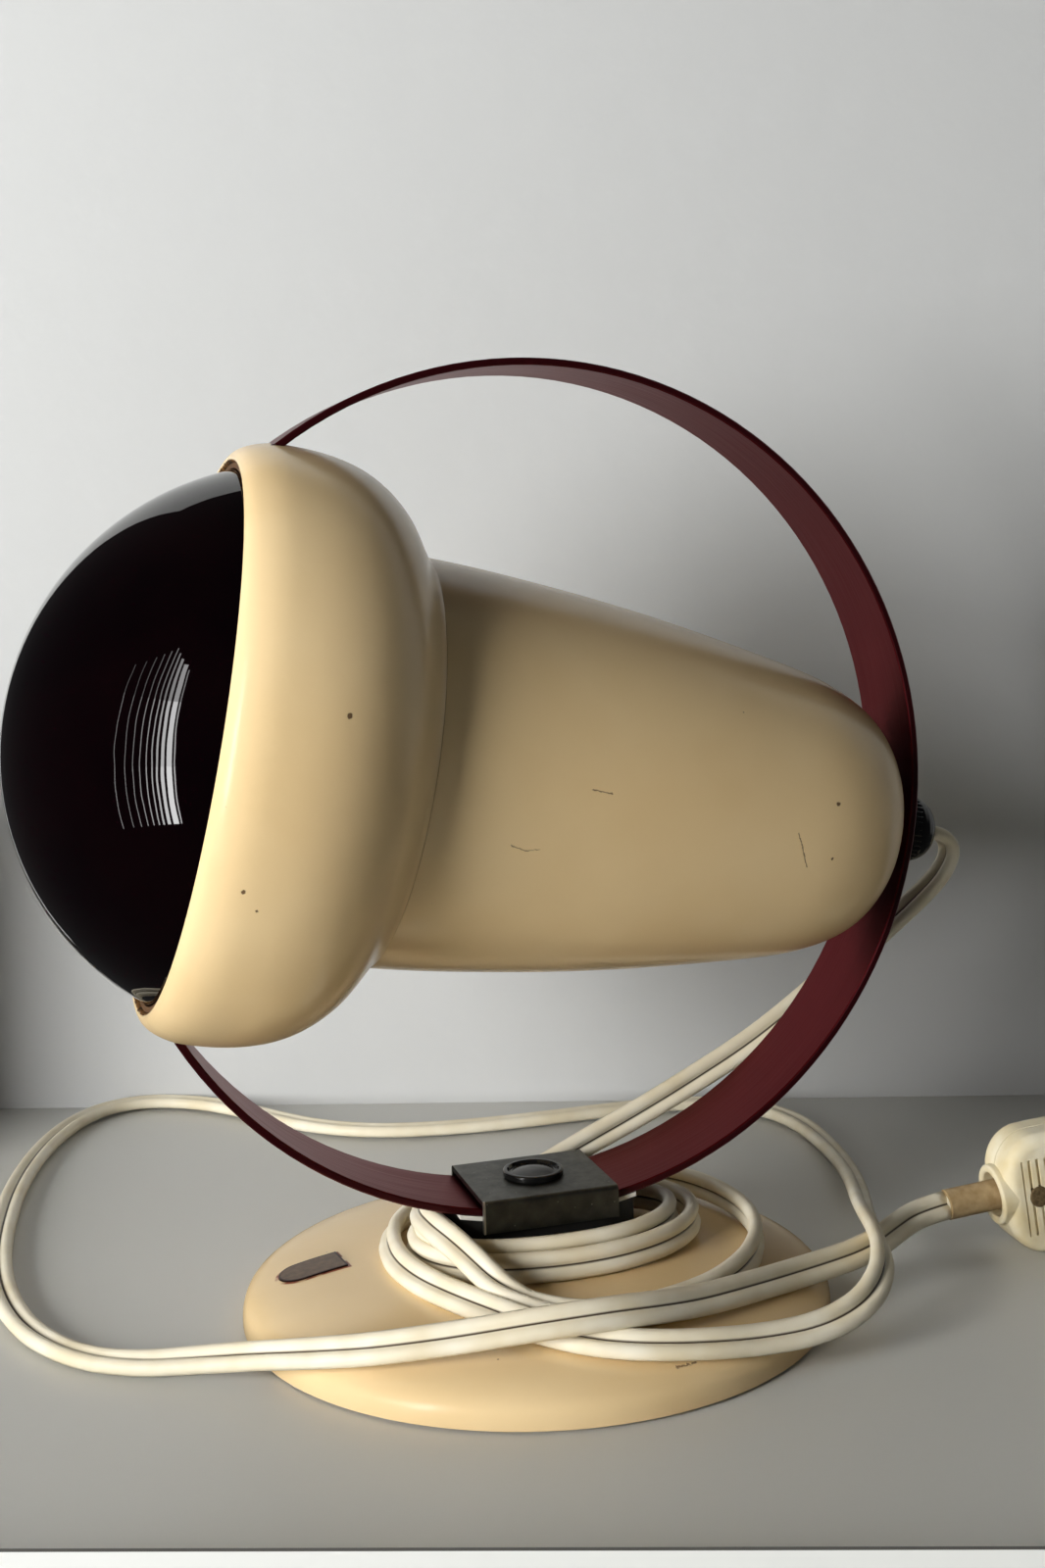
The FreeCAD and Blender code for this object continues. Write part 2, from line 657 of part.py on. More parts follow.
def cone_points():
    """Half section of the rear shell's outside, from its front edge back to the tail's seat."""
    length = CONE_START_S - CONE_END_S
    tail_l = CONE_END_S - TAIL_S
    tail_r = CONE_END_R - TAIL_SEAT_R
    sides = [(0, 0), (0.14, 0.05), (0.28, 0.14), (0.44, 0.27), (0.60, 0.435), (0.76, 0.64), (0.89, 0.83)]
    tail = [(0, 0), (0.26, 0.07), (0.50, 0.17), (0.69, 0.29), (0.835, 0.45), (0.935, 0.64), (0.985, 0.83),
            (1, 1)]
    return (
        [(CONE_START_S - a * length, CONE_START_R - b * CONE_TAPER) for a, b in sides]
        + [(CONE_END_S - a * tail_l, CONE_END_R - b * tail_r) for a, b in tail]
    )


def cone_shell():
    outer = cone_points()
    inner = offset_points(outer, SHEET)
    inner[0] = (outer[0][0], outer[0][1] - SHEET)
    inner[-1] = (TAIL_S + SHEET, TAIL_SEAT_R)
    inner.reverse()
    bore = NIPPLE_R + FIT
    face = outline(
        outer[0], ("curve", outer[1:]), (TAIL_S, bore), (TAIL_S + SHEET, bore),
        inner[0], ("curve", inner[1:]),
    )
    return turned_on_x(face)


def bulb_seal():
    """Fibre ring that fills the gap between the glass and the bell's hem."""
    back = MOUTH_S - HEM_DEPTH + 0.5
    return tube_on_x(back, back + SEAL_W - 1.0, LIP_R - FIT, BULB_R + 0.25)


# ---------------------------------------------------------------- bulb
def glass_points():
    """Half section of the bulb behind its front dome, from the edge back to the neck."""
    length = BULB_EDGE_S - NECK_END_S
    fall = BULB_R - NECK_R
    steps = (
        (0.025, 0.012), (0.09, 0.075), (0.20, 0.185), (0.34, 0.365),
        (0.48, 0.57), (0.62, 0.775), (0.75, 0.915), (0.88, 0.985), (1, 1),
    )
    return [(BULB_EDGE_S - a * length, BULB_R - b * fall) for a, b in steps]


def bulb_glass():
    """Blown envelope as one hollow shell."""
    centre = APEX_S - DOME_R
    inner_r = DOME_R - GLASS
    edge_r = DOME_EDGE_R
    edge_s = centre + math.sqrt(DOME_R ** 2 - edge_r ** 2)
    mid = math.asin(edge_r / DOME_R) / 2
    inner_edge_r = edge_r - GLASS
    inner_edge_s = centre + math.sqrt(inner_r ** 2 - inner_edge_r ** 2)
    inner_mid = math.asin(inner_edge_r / inner_r) / 2
    back = glass_points()
    inner_back = offset_points([(BULB_EDGE_S, BULB_R)] + back, GLASS)[1:]
    inner_back[-1] = (NECK_END_S, NECK_R - GLASS)
    inner_back.reverse()
    face = outline(
        (APEX_S, 0),
        ("arc", (centre + DOME_R * math.cos(mid), DOME_R * math.sin(mid)), (edge_s, edge_r)),
        ("curve", [(BULB_EDGE_S, BULB_R)] + back),
        (NECK_END_S, NECK_R - GLASS),
        ("curve", inner_back[1:] + [(BULB_EDGE_S, BULB_R - GLASS), (inner_edge_s, inner_edge_r)]),
        ("arc", (centre + inner_r * math.cos(inner_mid), inner_r * math.sin(inner_mid)), (APEX_S - GLASS, 0)),
    )
    return turned_on_x(face)


def bulb_cap():
    """Screw cap with rolled thread, crimped on the neck."""
    pitch_count = 5
    low = NECK_END_S - 2.0
    legs = [(low, NECK_R - GLASS), (low - 1.0, CAP_R + 1.0)]
    start = low - 2.0
    legs.append((start, CAP_R - THREAD_DEPTH))
    for i in range(pitch_count):
        s = start - i * THREAD_PITCH
        legs.append(("arc", (s - THREAD_PITCH / 2, CAP_R), (s - THREAD_PITCH, CAP_R - THREAD_DEPTH)))
    end = NECK_END_S - CAP_L
    wall = 0.5
    inner = CAP_R - THREAD_DEPTH - wall
    legs += [(end, CAP_R - THREAD_DEPTH), (end - 1.5, 10.0), (end - 1.5, 9.0), (end, inner - 0.6)]
    legs += [(low - 1.5, inner), (low, inner), (NECK_END_S, NECK_R - GLASS - wall)]
    return turned_on_x(outline((NECK_END_S, NECK_R), *legs))


def bulb_insulator():
    end = NECK_END_S - CAP_L - 1.5
    face = outline((end, 9.0), (end - 2.0, CONTACT_R + 0.5), (end - 2.0, 0), (end + 2.5, 0), (end + 2.5, 9.0))
    return turned_on_x(face)


def bulb_contact():
    end = NECK_END_S - CAP_L - 3.5
    dome = ("arc", (end - 1.4, CONTACT_R * 0.75), (end - 1.7, CONTACT_R * 0.4))
    return turned_on_x(outline((end, 0), (end, CONTACT_R), (end - 0.8, CONTACT_R), dome, (end - 1.7, 0)))


def bulb_stem():
    """Glass stem with its flare, inside the neck."""
    face = outline(
        (NECK_END_S, 0), (NECK_END_S, NECK_R - GLASS - FIT), (NECK_END_S + 1.5, NECK_R - GLASS - FIT),
        ("curve", [
            (NECK_END_S + STEM_FLARE_L * 0.4, STEM_R * 2.2), (NECK_END_S + STEM_FLARE_L, STEM_R * 1.3),
        ]),
        (NECK_END_S + STEM_L, STEM_R), (NECK_END_S + STEM_L, 0),
    )
    return turned_on_x(face)


def filament_wires():
    """Two lead wires that spread from the stem to the filament's ends."""
    stem_end = NECK_END_S + STEM_L
    wires = []
    for side in (-1, 1):
        start = V(stem_end + SHEET_GAP, side * STEM_R / 2, 0)
        end = V(stem_end + FILAMENT_LEAD_L - FILAMENT_R - SHEET_GAP, side * FILAMENT_SPAN, 0)
        direction = end.sub(start)
        wires.append(Part.makeCylinder(FILAMENT_LEAD_R, direction.Length, start, direction))
    return wires


def filament():
    """Zigzag filament across the ends of the lead wires."""
    start = NECK_END_S + STEM_L + FILAMENT_LEAD_L + SHEET_GAP
    points = []
    for i in range(FILAMENT_ZIGZAGS + 1):
        y = -FILAMENT_SPAN + 2 * FILAMENT_SPAN * i / FILAMENT_ZIGZAGS
        points.append(V(start + (FILAMENT_DEPTH if i % 2 else 0), y, 0))
    coil = None
    for a, b in zip(points, points[1:]):
        rod = Part.makeCylinder(FILAMENT_R, b.sub(a).Length, a, b.sub(a))
        ball = Part.makeSphere(FILAMENT_R, b)
        coil = rod.fuse(ball) if coil is None else coil.fuse(rod).fuse(ball)
    return coil.removeSplitter()


# ---------------------------------------------------------------- lampholder and rear fixing
def holder_body():
    back = HOLDER_S - HOLDER_L
    floor_s = HOLDER_FLOOR_S
    face = outline(
        (HOLDER_S, HOLDER_BORE + 4.2), (HOLDER_S - 1.5, HOLDER_R), (back + 9, HOLDER_R),
        ("arc", (back + 4.5, HOLDER_R - 1.2), (back + 2, HOLDER_R - 5.0)),
        (back, HOLDER_R - 8.0), (back, NIPPLE_R + FIT), (floor_s, NIPPLE_R + FIT), (floor_s, HOLDER_BORE),
        (HOLDER_S - 3.0, HOLDER_BORE), (HOLDER_S, NECK_R + 0.6),
    )
    return turned_on_x(face)


def holder_sleeve():
    """Brass screw shell inside the holder."""
    start = NECK_END_S - 6.0
    end = NECK_END_S - CAP_L + 1.0
    inner = CAP_R + 2 * FIT
    sleeve = tube_on_x(end, start, inner + SLEEVE_T, inner)
    return sleeve.fuse(tube_on_x(start - 0.8, start, HOLDER_BORE - FIT, inner)).removeSplitter()


def holder_tongue():
    """Centre contact: a bent strip from the holder's floor to the bulb's contact."""
    tip = HOLDER_FLOOR_S + 2 * TONGUE_T + 1.6
    floor_s = HOLDER_FLOOR_S
    face = outline(
        (floor_s, TONGUE_OUT), (floor_s, TONGUE_OUT - TONGUE_FOOT), (tip - 1.5 * TONGUE_T, 2.0),
        (tip - 1.5 * TONGUE_T, -3.0), (tip - TONGUE_T / 2, -3.0), (tip - TONGUE_T / 2, 2.2),
        (floor_s + TONGUE_T, TONGUE_OUT - TONGUE_FOOT + 0.4), (floor_s + TONGUE_T, TONGUE_OUT),
    )
    return face.extrude(V(0, TONGUE_W, 0)).translated(V(0, -TONGUE_W / 2, 0))


def nipple():
    start = HOLDER_S - HOLDER_L + 6.0
    end = -RING_R - KNOB_L + 3.0
    return tube_on_x(start, end, NIPPLE_R, NIPPLE_BORE)


def hex_nut(s_from, s_to):
    radius = HEX_AF / math.sqrt(3)
    corners = [
        V(s_from, radius * math.cos(math.radians(60 * i)), radius * math.sin(math.radians(60 * i)))
        for i in range(7)
    ]
    body = Part.Face(Part.makePolygon(corners)).extrude(V(s_to - s_from, 0, 0))
    return body.cut(tube_on_x(s_from - 1, s_to + 1, NIPPLE_R + FIT))


def tail_nut():
    low = TAIL_S + SHEET + WASHER_T
    return hex_nut(low, low + HEX_T)


def holder_nut():
    top = HOLDER_S - HOLDER_L
    return hex_nut(top - HEX_T, top)


def tail_washer():
    low = TAIL_S + SHEET
    return tube_on_x(low, low + WASHER_T, TAIL_SEAT_R - 0.8, NIPPLE_R + FIT)


def tail_spacer():
    """Collar between the tail and the ring, hollowed to the ring's curve."""
    body = tube_on_x(TAIL_S, -RING_R, TAIL_SEAT_R - 0.4, NIPPLE_R + FIT)
    return body.common(Part.makeCylinder(RING_IN_R - FIT, RING_W * 2, V(0, -RING_W, 0), Y_AXIS))


def rear_knob():
    """Fluted black nut that clamps the ring to the tail; the flex comes out of its middle."""
    base = -RING_R - FIT
    rim = base - KNOB_RIM_L
    tip = base - KNOB_L
    face = outline(
        (base, NIPPLE_R + FIT), (base, KNOB_R - 0.4), (base - 0.4, KNOB_R), (rim, KNOB_R),
        ("arc", (base - KNOB_L * 0.80, KNOB_R * 0.80), (tip, KNOB_TIP_R)),
        (tip, CORD_HOLE_R), (tip + 2.4, CORD_HOLE_R), (tip + 2.4, NIPPLE_R + FIT),
    )
    knob = turned_on_x(face)
    for i in range(KNOB_FLUTES):
        a = 2 * math.pi * i / KNOB_FLUTES
        centre = V(base + 1, KNOB_R * math.cos(a), KNOB_R * math.sin(a))
        knob = knob.cut(Part.makeCylinder(KNOB_FLUTE_R, KNOB_RIM_L + 1.4, centre, V(-1, 0, 0)))
    return knob


def inner_lead():
    """The flex inside the nipple, from the holder to the knob's tip."""
    return tube_on_x(HOLDER_FLOOR_S - SPRING_ROOM, -RING_R - KNOB_L, CORD_D / 2)


# ---------------------------------------------------------------- flex
def routed_tube(name, points, diameter):
    """Tube along straight runs joined by tangent arcs; prints its length and its tightest arcs."""
    path = []
    radii = []
    length = 0.0
    here = V(*points[0])
    corners = [V(*p) for p in points]
    for before, corner, after in zip(corners, corners[1:], corners[2:]):
        run_in = corner.sub(before)
        run_out = after.sub(corner)
        half_turn = run_in.getAngle(run_out) / 2
        tangent = 0.45 * min(run_in.Length, run_out.Length)
        radius = tangent / math.tan(half_turn)
        radii.append(radius)
        start = corner.sub(V(run_in).normalize() * tangent)
        end = corner.add(V(run_out).normalize() * tangent)
        inward = V(run_out).normalize().sub(V(run_in).normalize()).normalize()
        via = corner.add(inward * (radius / math.cos(half_turn) - radius))
        path.append(Part.makeLine(here, start))
        path.append(Part.Arc(start, via, end).toShape())
        length += start.distanceToPoint(here) + 2 * half_turn * radius
        here = end
    path.append(Part.makeLine(here, corners[-1]))
    length += here.distanceToPoint(corners[-1])
    first = corners[1].sub(corners[0])
    circle = Part.Wire(Part.makeCircle(diameter / 2, corners[0], first))
    tube = Part.Wire(path).makePipeShell([circle], True, False)
    section = math.pi * diameter ** 2 / 4
    print("%s: length %.1f, volume over section x length %.4f, radii %s" % (
        name, length, tube.Volume / (section * length), " ".join("%.0f" % r for r in radii)))
    return tube


# from the knob down behind the ring to the back of the coil
DROP_ROUTE = [
    (111.2, 0.0, 105.8),
    (116.2, 0.0, 104.8),
    (118.6, 0.6, 99.5),
    (115.0, 1.8, 92.9),
    (107.5, 3.8, 86.0),
    (98.5, 8.0, 77.5),
    (89.5, 12.6, 68.5),
    (79.5, 16.2, 59.5),
    (66.0, 17.8, 50.5),
    (51.5, 18.2, 43.4),
    (35.5, 18.6, 36.0),
    (19.5, 18.4, 29.6),
    (7.5, 18.2, 24.6),
    (-3.0, 17.6, 19.6),
]

# from the coil over the dome, round the table and back over the base's front to the plug
LEAD_ROUTE = [
    (-9.0, 18.4, 18.6),
    (-17.5, 17.5, 20.8),
    (-24.5, 12.5, 22.2),
    (-28.0, 4.0, 23.0),
    (-27.5, -7.0, 23.4),
    (-25.5, -18.5, 23.2),
    (-22.8, -26.5, 21.2),
    (-19.5, -32.0, 18.0),
    (-15.0, -37.0, 15.5),
    (-8.5, -42.5, 14.3),
    (-0.7, -47.3, 14.0),
    (9.0, -49.0, 13.8),
    (20.0, -46.5, 13.6),
    (31.5, -41.5, 13.8),
    (41.0, -33.5, 14.0),
    (49.0, -22.5, 14.0),
    (54.5, -9.5, 14.0),
    (56.0, 4.0, 14.1),
    (53.5, 18.0, 14.3),
    (46.5, 30.5, 14.6),
    (34.5, 38.5, 14.6),
    (19.0, 42.0, 14.5),
    (3.0, 41.5, 14.6),
    (-12.0, 36.5, 14.9),
    (-25.5, 27.0, 15.2),
    (-33.5, 14.5, 15.1),
    (-35.9, -1.0, 14.9),
    (-33.5, -15.5, 14.8),
    (-27.7, -28.7, 14.7),
    (-20.8, -40.5, 14.3),
    (-13.3, -50.8, 13.6),
    (-4.4, -58.2, 12.7),
    (6.7, -62.4, 11.9),
    (20.0, -63.6, 10.7),
    (33.5, -62.2, 9.2),
    (47.0, -61.0, 9.1),
    (58.5, -57.8, 11.0),
    (66.5, -52.0, 13.8),
    (71.8, -43.5, 16.0),
    (75.5, -32.5, 16.6),
    (80.5, -18.5, 15.2),
    (87.5, -2.0, 11.8),
    (96.0, 17.0, 8.4),
    (104.0, 37.0, 5.6),
    (110.5, 57.5, 3.6),
    (114.5, 78.0, 2.7),
    (116.0, 96.0, 2.5),
    (112.5, 111.0, 2.5),
    (103.0, 122.5, 2.5),
    (88.0, 129.5, 2.5),
    (67.0, 131.0, 2.5),
    (45.0, 130.5, 2.5),
    (24.0, 131.0, 2.5),
    (5.0, 133.5, 2.5),
    (-12.0, 139.0, 2.5),
    (-26.0, 149.0, 2.5),
    (-37.0, 163.0, 2.5),
    (-47.0, 178.0, 2.5),
    (-59.0, 191.5, 2.5),
    (-74.5, 200.0, 2.5),
    (-89.0, 197.0, 2.5),
    (-99.5, 185.0, 2.5),
    (-108.5, 166.0, 2.5),
    (-115.5, 143.5, 2.5),
    (-120.5, 120.0, 2.5),
    (-123.5, 97.0, 2.5),
    (-125.5, 74.0, 2.5),
    (-125.5, 51.5, 2.5),
    (-123.0, 31.0, 2.5),
    (-118.0, 13.5, 2.5),
    (-109.0, -1.5, 2.5),
    (-97.0, -10.5, 2.9),
    (-84.5, -16.5, 4.3),
    (-74.5, -23.5, 6.4),
    (-67.0, -31.0, 8.6),
    (-59.5, -37.3, 10.4),
    (-51.0, -43.5, 12.2),
    (-42.0, -48.0, 13.8),
    (-31.0, -52.0, 15.4),
    (-19.7, -56.3, 17.4),
    (-8.4, -58.4, 18.3),
    (2.2, -57.8, 18.0),
    (12.4, -55.2, 16.6),
    (23.0, -51.0, 14.9),
    (33.5, -46.5, 13.9),
    (44.5, -41.0, 12.6),
    (55.5, -35.5, 11.5),
    (65.0, -31.5, 11.0),
    (73.0, -28.2, 10.8),
    (81.0, -23.6, 10.8),
    (89.5, -17.0, 10.9),
    (98.5, -11.3, 11.5),
]


def cord_coil():
    """Closed outline of the two turns of flex wound round the pedestal."""
    outer = stadium(COIL_OUT_L, COIL_OUT_W, COIL_H, COIL_Z, COIL_X)
    inner = stadium(COIL_OUT_L - 2 * COIL_TURNS_T, COIL_OUT_W - 2 * COIL_TURNS_T, COIL_H, COIL_Z, COIL_X)
    return outer.cut(inner).translated(V(0, COIL_Y, 0)).cut(dome_body(SHEET_GAP))


# ---------------------------------------------------------------- plug, along X from its cord end
PLUG = FreeCAD.Placement(
    V(PLUG_X, PLUG_Y, PLUG_Z),
    FreeCAD.Rotation(Z_AXIS, PLUG_YAW_DEG) * FreeCAD.Rotation(Y_AXIS, -PLUG_PITCH_DEG),
)


def in_plug(shape):
    moved = shape.copy()
    moved.Placement = PLUG.multiply(moved.Placement)
    return moved


def plug_blank():
    """Rounded upright block, half its width each side of y = 0."""
    big, small = PLUG_ROUND, PLUG_NOSE_ROUND
    top = PLUG_H / 2
    big_cut = big * (1 - math.sqrt(0.5))
    small_cut = small * (1 - math.sqrt(0.5))
    edges = [
        Part.makeLine(V(big, 0, -top), V(PLUG_L - small, 0, -top)),
        Part.Arc(V(PLUG_L - small, 0, -top), V(PLUG_L - small_cut, 0, small_cut - top),
                 V(PLUG_L, 0, small - top)).toShape(),
        Part.makeLine(V(PLUG_L, 0, small - top), V(PLUG_L, 0, top - small)),
        Part.Arc(V(PLUG_L, 0, top - small), V(PLUG_L - small_cut, 0, top - small_cut),
                 V(PLUG_L - small, 0, top)).toShape(),
        Part.makeLine(V(PLUG_L - small, 0, top), V(big, 0, top)),
        Part.Arc(V(big, 0, top), V(big_cut, 0, top - big_cut), V(0, 0, top - big)).toShape(),
        Part.makeLine(V(0, 0, top - big), V(0, 0, big - top)),
        Part.Arc(V(0, 0, big - top), V(big_cut, 0, big_cut - top), V(big, 0, -top)).toShape(),
    ]
    slab = Part.Face(Part.Wire(edges)).extrude(V(0, PLUG_W, 0)).translated(V(0, -PLUG_W / 2, 0))
    rims = [
        e for e in slab.Edges
        if abs(abs(e.BoundBox.YMin) - PLUG_W / 2) < 0.01 and e.BoundBox.YLength < 0.01
    ]
    return slab.makeFillet(PLUG_EDGE, rims)


def along_plug(radius, start, length, z=0.0):
    return Part.makeCylinder(radius, length, V(start, 0, z), X_AXIS)


def across_plug(radius, y_from, y_to):
    return Part.makeCylinder(radius, y_to - y_from, V(PLUG_SCREW_X, y_from, 0), Y_AXIS)


def plug_hollow():
    """Room inside the plug for the collar, the strain sleeve, the pins' roots and the screw."""
    room = along_plug(STRAIN_R + FIT, 0, STRAIN_IN + FIT)
    room = room.fuse(along_plug(COLLAR_R + FIT, 0, COLLAR_IN + FIT))
    deep = PLUG_W - 2 * PLUG_SIDE_WALL
    high = PLUG_H - 2 * PLUG_WALL
    start = STRAIN_IN + PLUG_SCREW_R + PLUG_LEAD_L
    chamber = Part.makeBox(PLUG_L - start - PIN_ROOT + PIN_R, deep, high, V(start, -deep / 2, -high / 2))
    room = room.fuse(chamber).fuse(along_plug(CORD_D / 2 + FIT, 0, start + 1))
    for side in (-1, 1):
        room = room.fuse(along_plug(PIN_ROOT_R + FIT, PLUG_L - PIN_ROOT, PIN_ROOT, side * PIN_PITCH / 2))
    return room


def grip_panel(side):
    """The space between the ribs of one broad face."""
    face_y = side * PLUG_W / 2
    room = Part.makeBox(GRIP_L, 2 * GRIP_DEPTH, GRIP_H, V(GRIP_X, face_y - GRIP_DEPTH, -GRIP_H / 2))
    for i in range(PLUG_RIBS):
        x = GRIP_X + (GRIP_L - (PLUG_RIBS - 1) * RIB_PITCH - RIB_W) / 2 + i * RIB_PITCH
        corner = V(x, face_y - 2 * GRIP_DEPTH, -GRIP_H / 2)
        room = room.cut(Part.makeBox(RIB_W, 4 * GRIP_DEPTH, GRIP_H, corner))
    return room


def plug_half(side):
    far = PLUG_L * 2
    low_y = PLUG_SEAM / 2 if side > 0 else -PLUG_SEAM / 2 - far
    keep = Part.makeBox(far, far, far, V(-PLUG_L / 2, low_y, -PLUG_L))
    body = plug_blank().cut(plug_hollow()).cut(grip_panel(side)).common(keep)
    shank = across_plug(PLUG_SCREW_SHANK_R + FIT, -PLUG_W, PLUG_W / 2 - 2.0)
    head = across_plug(PLUG_SCREW_R + FIT, -PLUG_W, -PLUG_W / 2 + 2.6)
    return body.cut(shank).cut(head)


def plug_collar():
    """Raised lip round the flex's way in."""
    length = COLLAR_OUT + COLLAR_IN
    ring = along_plug(COLLAR_R, -COLLAR_OUT, length).cut(along_plug(COLLAR_IN_R, -COLLAR_OUT, length))
    front = [e for e in ring.Edges if abs(e.BoundBox.XMax + COLLAR_OUT) < 0.01]
    return ring.makeFillet(0.7, front)


def strain_sleeve():
    length = STRAIN_OUT + STRAIN_IN
    return along_plug(STRAIN_R, -STRAIN_OUT, length).cut(along_plug(CORD_D / 2 + FIT, -STRAIN_OUT, length))


def plug_lead():
    """The flex inside the strain sleeve and on to the pins' chamber, split round the screw."""
    lead = along_plug(CORD_D / 2, -STRAIN_OUT, STRAIN_OUT + STRAIN_IN + PLUG_SCREW_R + PLUG_LEAD_L)
    return lead.cut(across_plug(PLUG_SCREW_SHANK_R + FIT, -PLUG_W, PLUG_W))


def plug_pins():
    pins = []
    for side in (-1, 1):
        z = side * PIN_PITCH / 2
        pin = along_plug(PIN_R, PLUG_L + PIN_SHOULDER, PIN_LEN - PIN_SHOULDER, z)
        tip = [e for e in pin.Edges if abs(e.BoundBox.XMin - PLUG_L - PIN_LEN) < 0.01]
        root = along_plug(PIN_ROOT_R, PLUG_L - PIN_ROOT, PIN_ROOT + PIN_SHOULDER, z)
        pins.append(pin.makeFillet(PIN_TIP, tip).fuse(root).removeSplitter())
    return pins


def plug_screw():
    """Screw that holds the two halves, flush with the ribs of the front half."""
    face_y = -PLUG_W / 2
    head = across_plug(PLUG_SCREW_R, face_y - 0.2, face_y + 2.6)
    rim = [e for e in head.Edges if abs(e.BoundBox.YMax - face_y + 0.2) < 0.01]
    head = head.makeFillet(0.3, rim)
    return head.fuse(across_plug(PLUG_SCREW_SHANK_R, face_y + 1, PLUG_W / 2 - 2.0)).removeSplitter()


PLUG_START = PLUG.multVec(V(-STRAIN_OUT, 0, 0))


# ---------------------------------------------------------------- write every node
save("base_shell", base_shell())
save("base_weight", base_weight())
save("weight_spacer", spacer_ring())
save("base_cover", base_cover())
save("cover_screws", *cover_screws())
save("base_pad", base_pad())
save("badge_plate", badge_plate())
save("pedestal", pedestal())
save("pedestal_inserts", *pedestal_inserts())
save("pedestal_screws", *pedestal_screws())
save("pedestal_washers", *pedestal_washers())
save("slide_shoe", slide_shoe())
save("saddle", saddle())
save("press_block", press_block())
save("press_spring", press_spring())
save("saddle_button", saddle_button())

save("ring_band", in_head(ring_band()))
save("ring_end_blocks", *[in_head(b) for b in end_blocks()])
save("bell_shell", in_head(bell_shell()))
save("cone_shell", in_head(cone_shell()))
save("bulb_seal", in_head(bulb_seal()))

glass = bulb_glass()
reach = BULB_R * 2
in_front = Part.makeBox(reach, reach * 2, reach * 2, V(SPLIT_S, -reach, -reach))
save("bulb_front", in_head(glass.common(in_front)))
save("bulb_bowl", in_head(glass.cut(in_front)))
save("bulb_cap", in_head(bulb_cap()))
save("bulb_insulator", in_head(bulb_insulator()))
save("bulb_contact", in_head(bulb_contact()))
save("bulb_stem", in_head(bulb_stem()))
save("filament_leads", *[in_head(w) for w in filament_wires()])
save("filament", in_head(filament()))

save("holder_body", in_head(holder_body()))
save("holder_sleeve", in_head(holder_sleeve()))
save("holder_tongue", in_head(holder_tongue()))
save("nipple", in_head(nipple()))
save("holder_nut", in_head(holder_nut()))
save("tail_nut", in_head(tail_nut()))
save("tail_washer", in_head(tail_washer()))
save("tail_spacer", in_head(tail_spacer()))
save("rear_knob", in_head(rear_knob()))
save("inner_lead", in_head(inner_lead()))

save("cord_drop", routed_tube("cord_drop", DROP_ROUTE, CORD_D))
save("cord_coil", cord_coil())
save("cord_lead", routed_tube("cord_lead", LEAD_ROUTE + [tuple(PLUG_START)], CORD_D))
save("plug_front_half", in_plug(plug_half(-1)))
save("plug_rear_half", in_plug(plug_half(1)))
save("plug_collar", in_plug(plug_collar()))
save("strain_sleeve", in_plug(strain_sleeve()))
save("plug_lead", in_plug(plug_lead()))
save("plug_pins", *[in_plug(p) for p in plug_pins()])
save("plug_screw", in_plug(plug_screw()))
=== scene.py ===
# %% [markdown]
# # Dressing an infrared heat lamp
#
# The metal work of this lamp is already drawn, packed and jointed as a CAD model. Here it gets its
# looks: a camera, a plain studio, a flat two-core flex, and a material for every part. Everything
# is in metres and in the CAD model's own frame, so nothing has to be fitted by eye.
#
# We load the imported model first.

import math
import bmesh
import bpy
from mathutils import Matrix, Vector


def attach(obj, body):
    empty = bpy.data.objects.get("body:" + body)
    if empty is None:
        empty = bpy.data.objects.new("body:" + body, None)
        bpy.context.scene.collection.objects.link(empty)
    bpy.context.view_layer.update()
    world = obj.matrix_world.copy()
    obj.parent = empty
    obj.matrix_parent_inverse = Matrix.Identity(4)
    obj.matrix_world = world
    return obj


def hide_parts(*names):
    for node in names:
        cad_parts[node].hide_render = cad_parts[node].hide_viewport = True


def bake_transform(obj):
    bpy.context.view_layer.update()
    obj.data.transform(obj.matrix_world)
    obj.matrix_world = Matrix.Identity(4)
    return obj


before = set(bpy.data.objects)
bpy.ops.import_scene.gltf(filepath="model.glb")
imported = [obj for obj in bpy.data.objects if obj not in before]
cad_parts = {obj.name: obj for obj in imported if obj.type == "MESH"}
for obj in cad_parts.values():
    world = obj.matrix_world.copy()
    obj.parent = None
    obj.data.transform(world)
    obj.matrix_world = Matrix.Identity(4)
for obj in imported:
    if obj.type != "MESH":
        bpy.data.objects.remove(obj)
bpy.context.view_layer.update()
MM = 0.001

# %% [markdown]
# ## Helpers for node trees
#
# Materials and Geometry Nodes are both trees of nodes. Clicking them together by hand is slow to
# repeat, so one small function adds a node, sets its properties, and fills its sockets: a plain
# value goes into the socket, and another node or one of its outputs is linked to it. Colours are
# written as the sRGB hex values a paint card would give, and one function turns them into the
# linear light that shaders use.

# %% Helpers for nodes and colours
def fill(tree, node, inputs):
    """Give sockets, by name or number, a value or a link; a node stands for its first output."""
    for key, value in inputs.items():
        if isinstance(value, bpy.types.Node):
            value = value.outputs[0]
        if isinstance(value, bpy.types.NodeSocket):
            tree.links.new(value, node.inputs[key])
        else:
            node.inputs[key].default_value = value


def add(tree, kind, inputs=None, **settings):
    """Add a node with these settings and fill its sockets."""
    node = tree.nodes.new(kind)
    for name, value in settings.items():
        setattr(node, name, value)
    fill(tree, node, inputs or {})
    return node


def linear(hex_colour):
    """An sRGB colour such as "#e3c899" as linear RGBA."""
    channels = [int(hex_colour[i:i + 2], 16) / 255 for i in (1, 3, 5)]
    return [c / 12.92 if c <= 0.04045 else ((c + 0.055) / 1.055) ** 2.4 for c in channels] + [1.0]


print("cream in linear light:", [round(c, 3) for c in linear("#e3c899")])

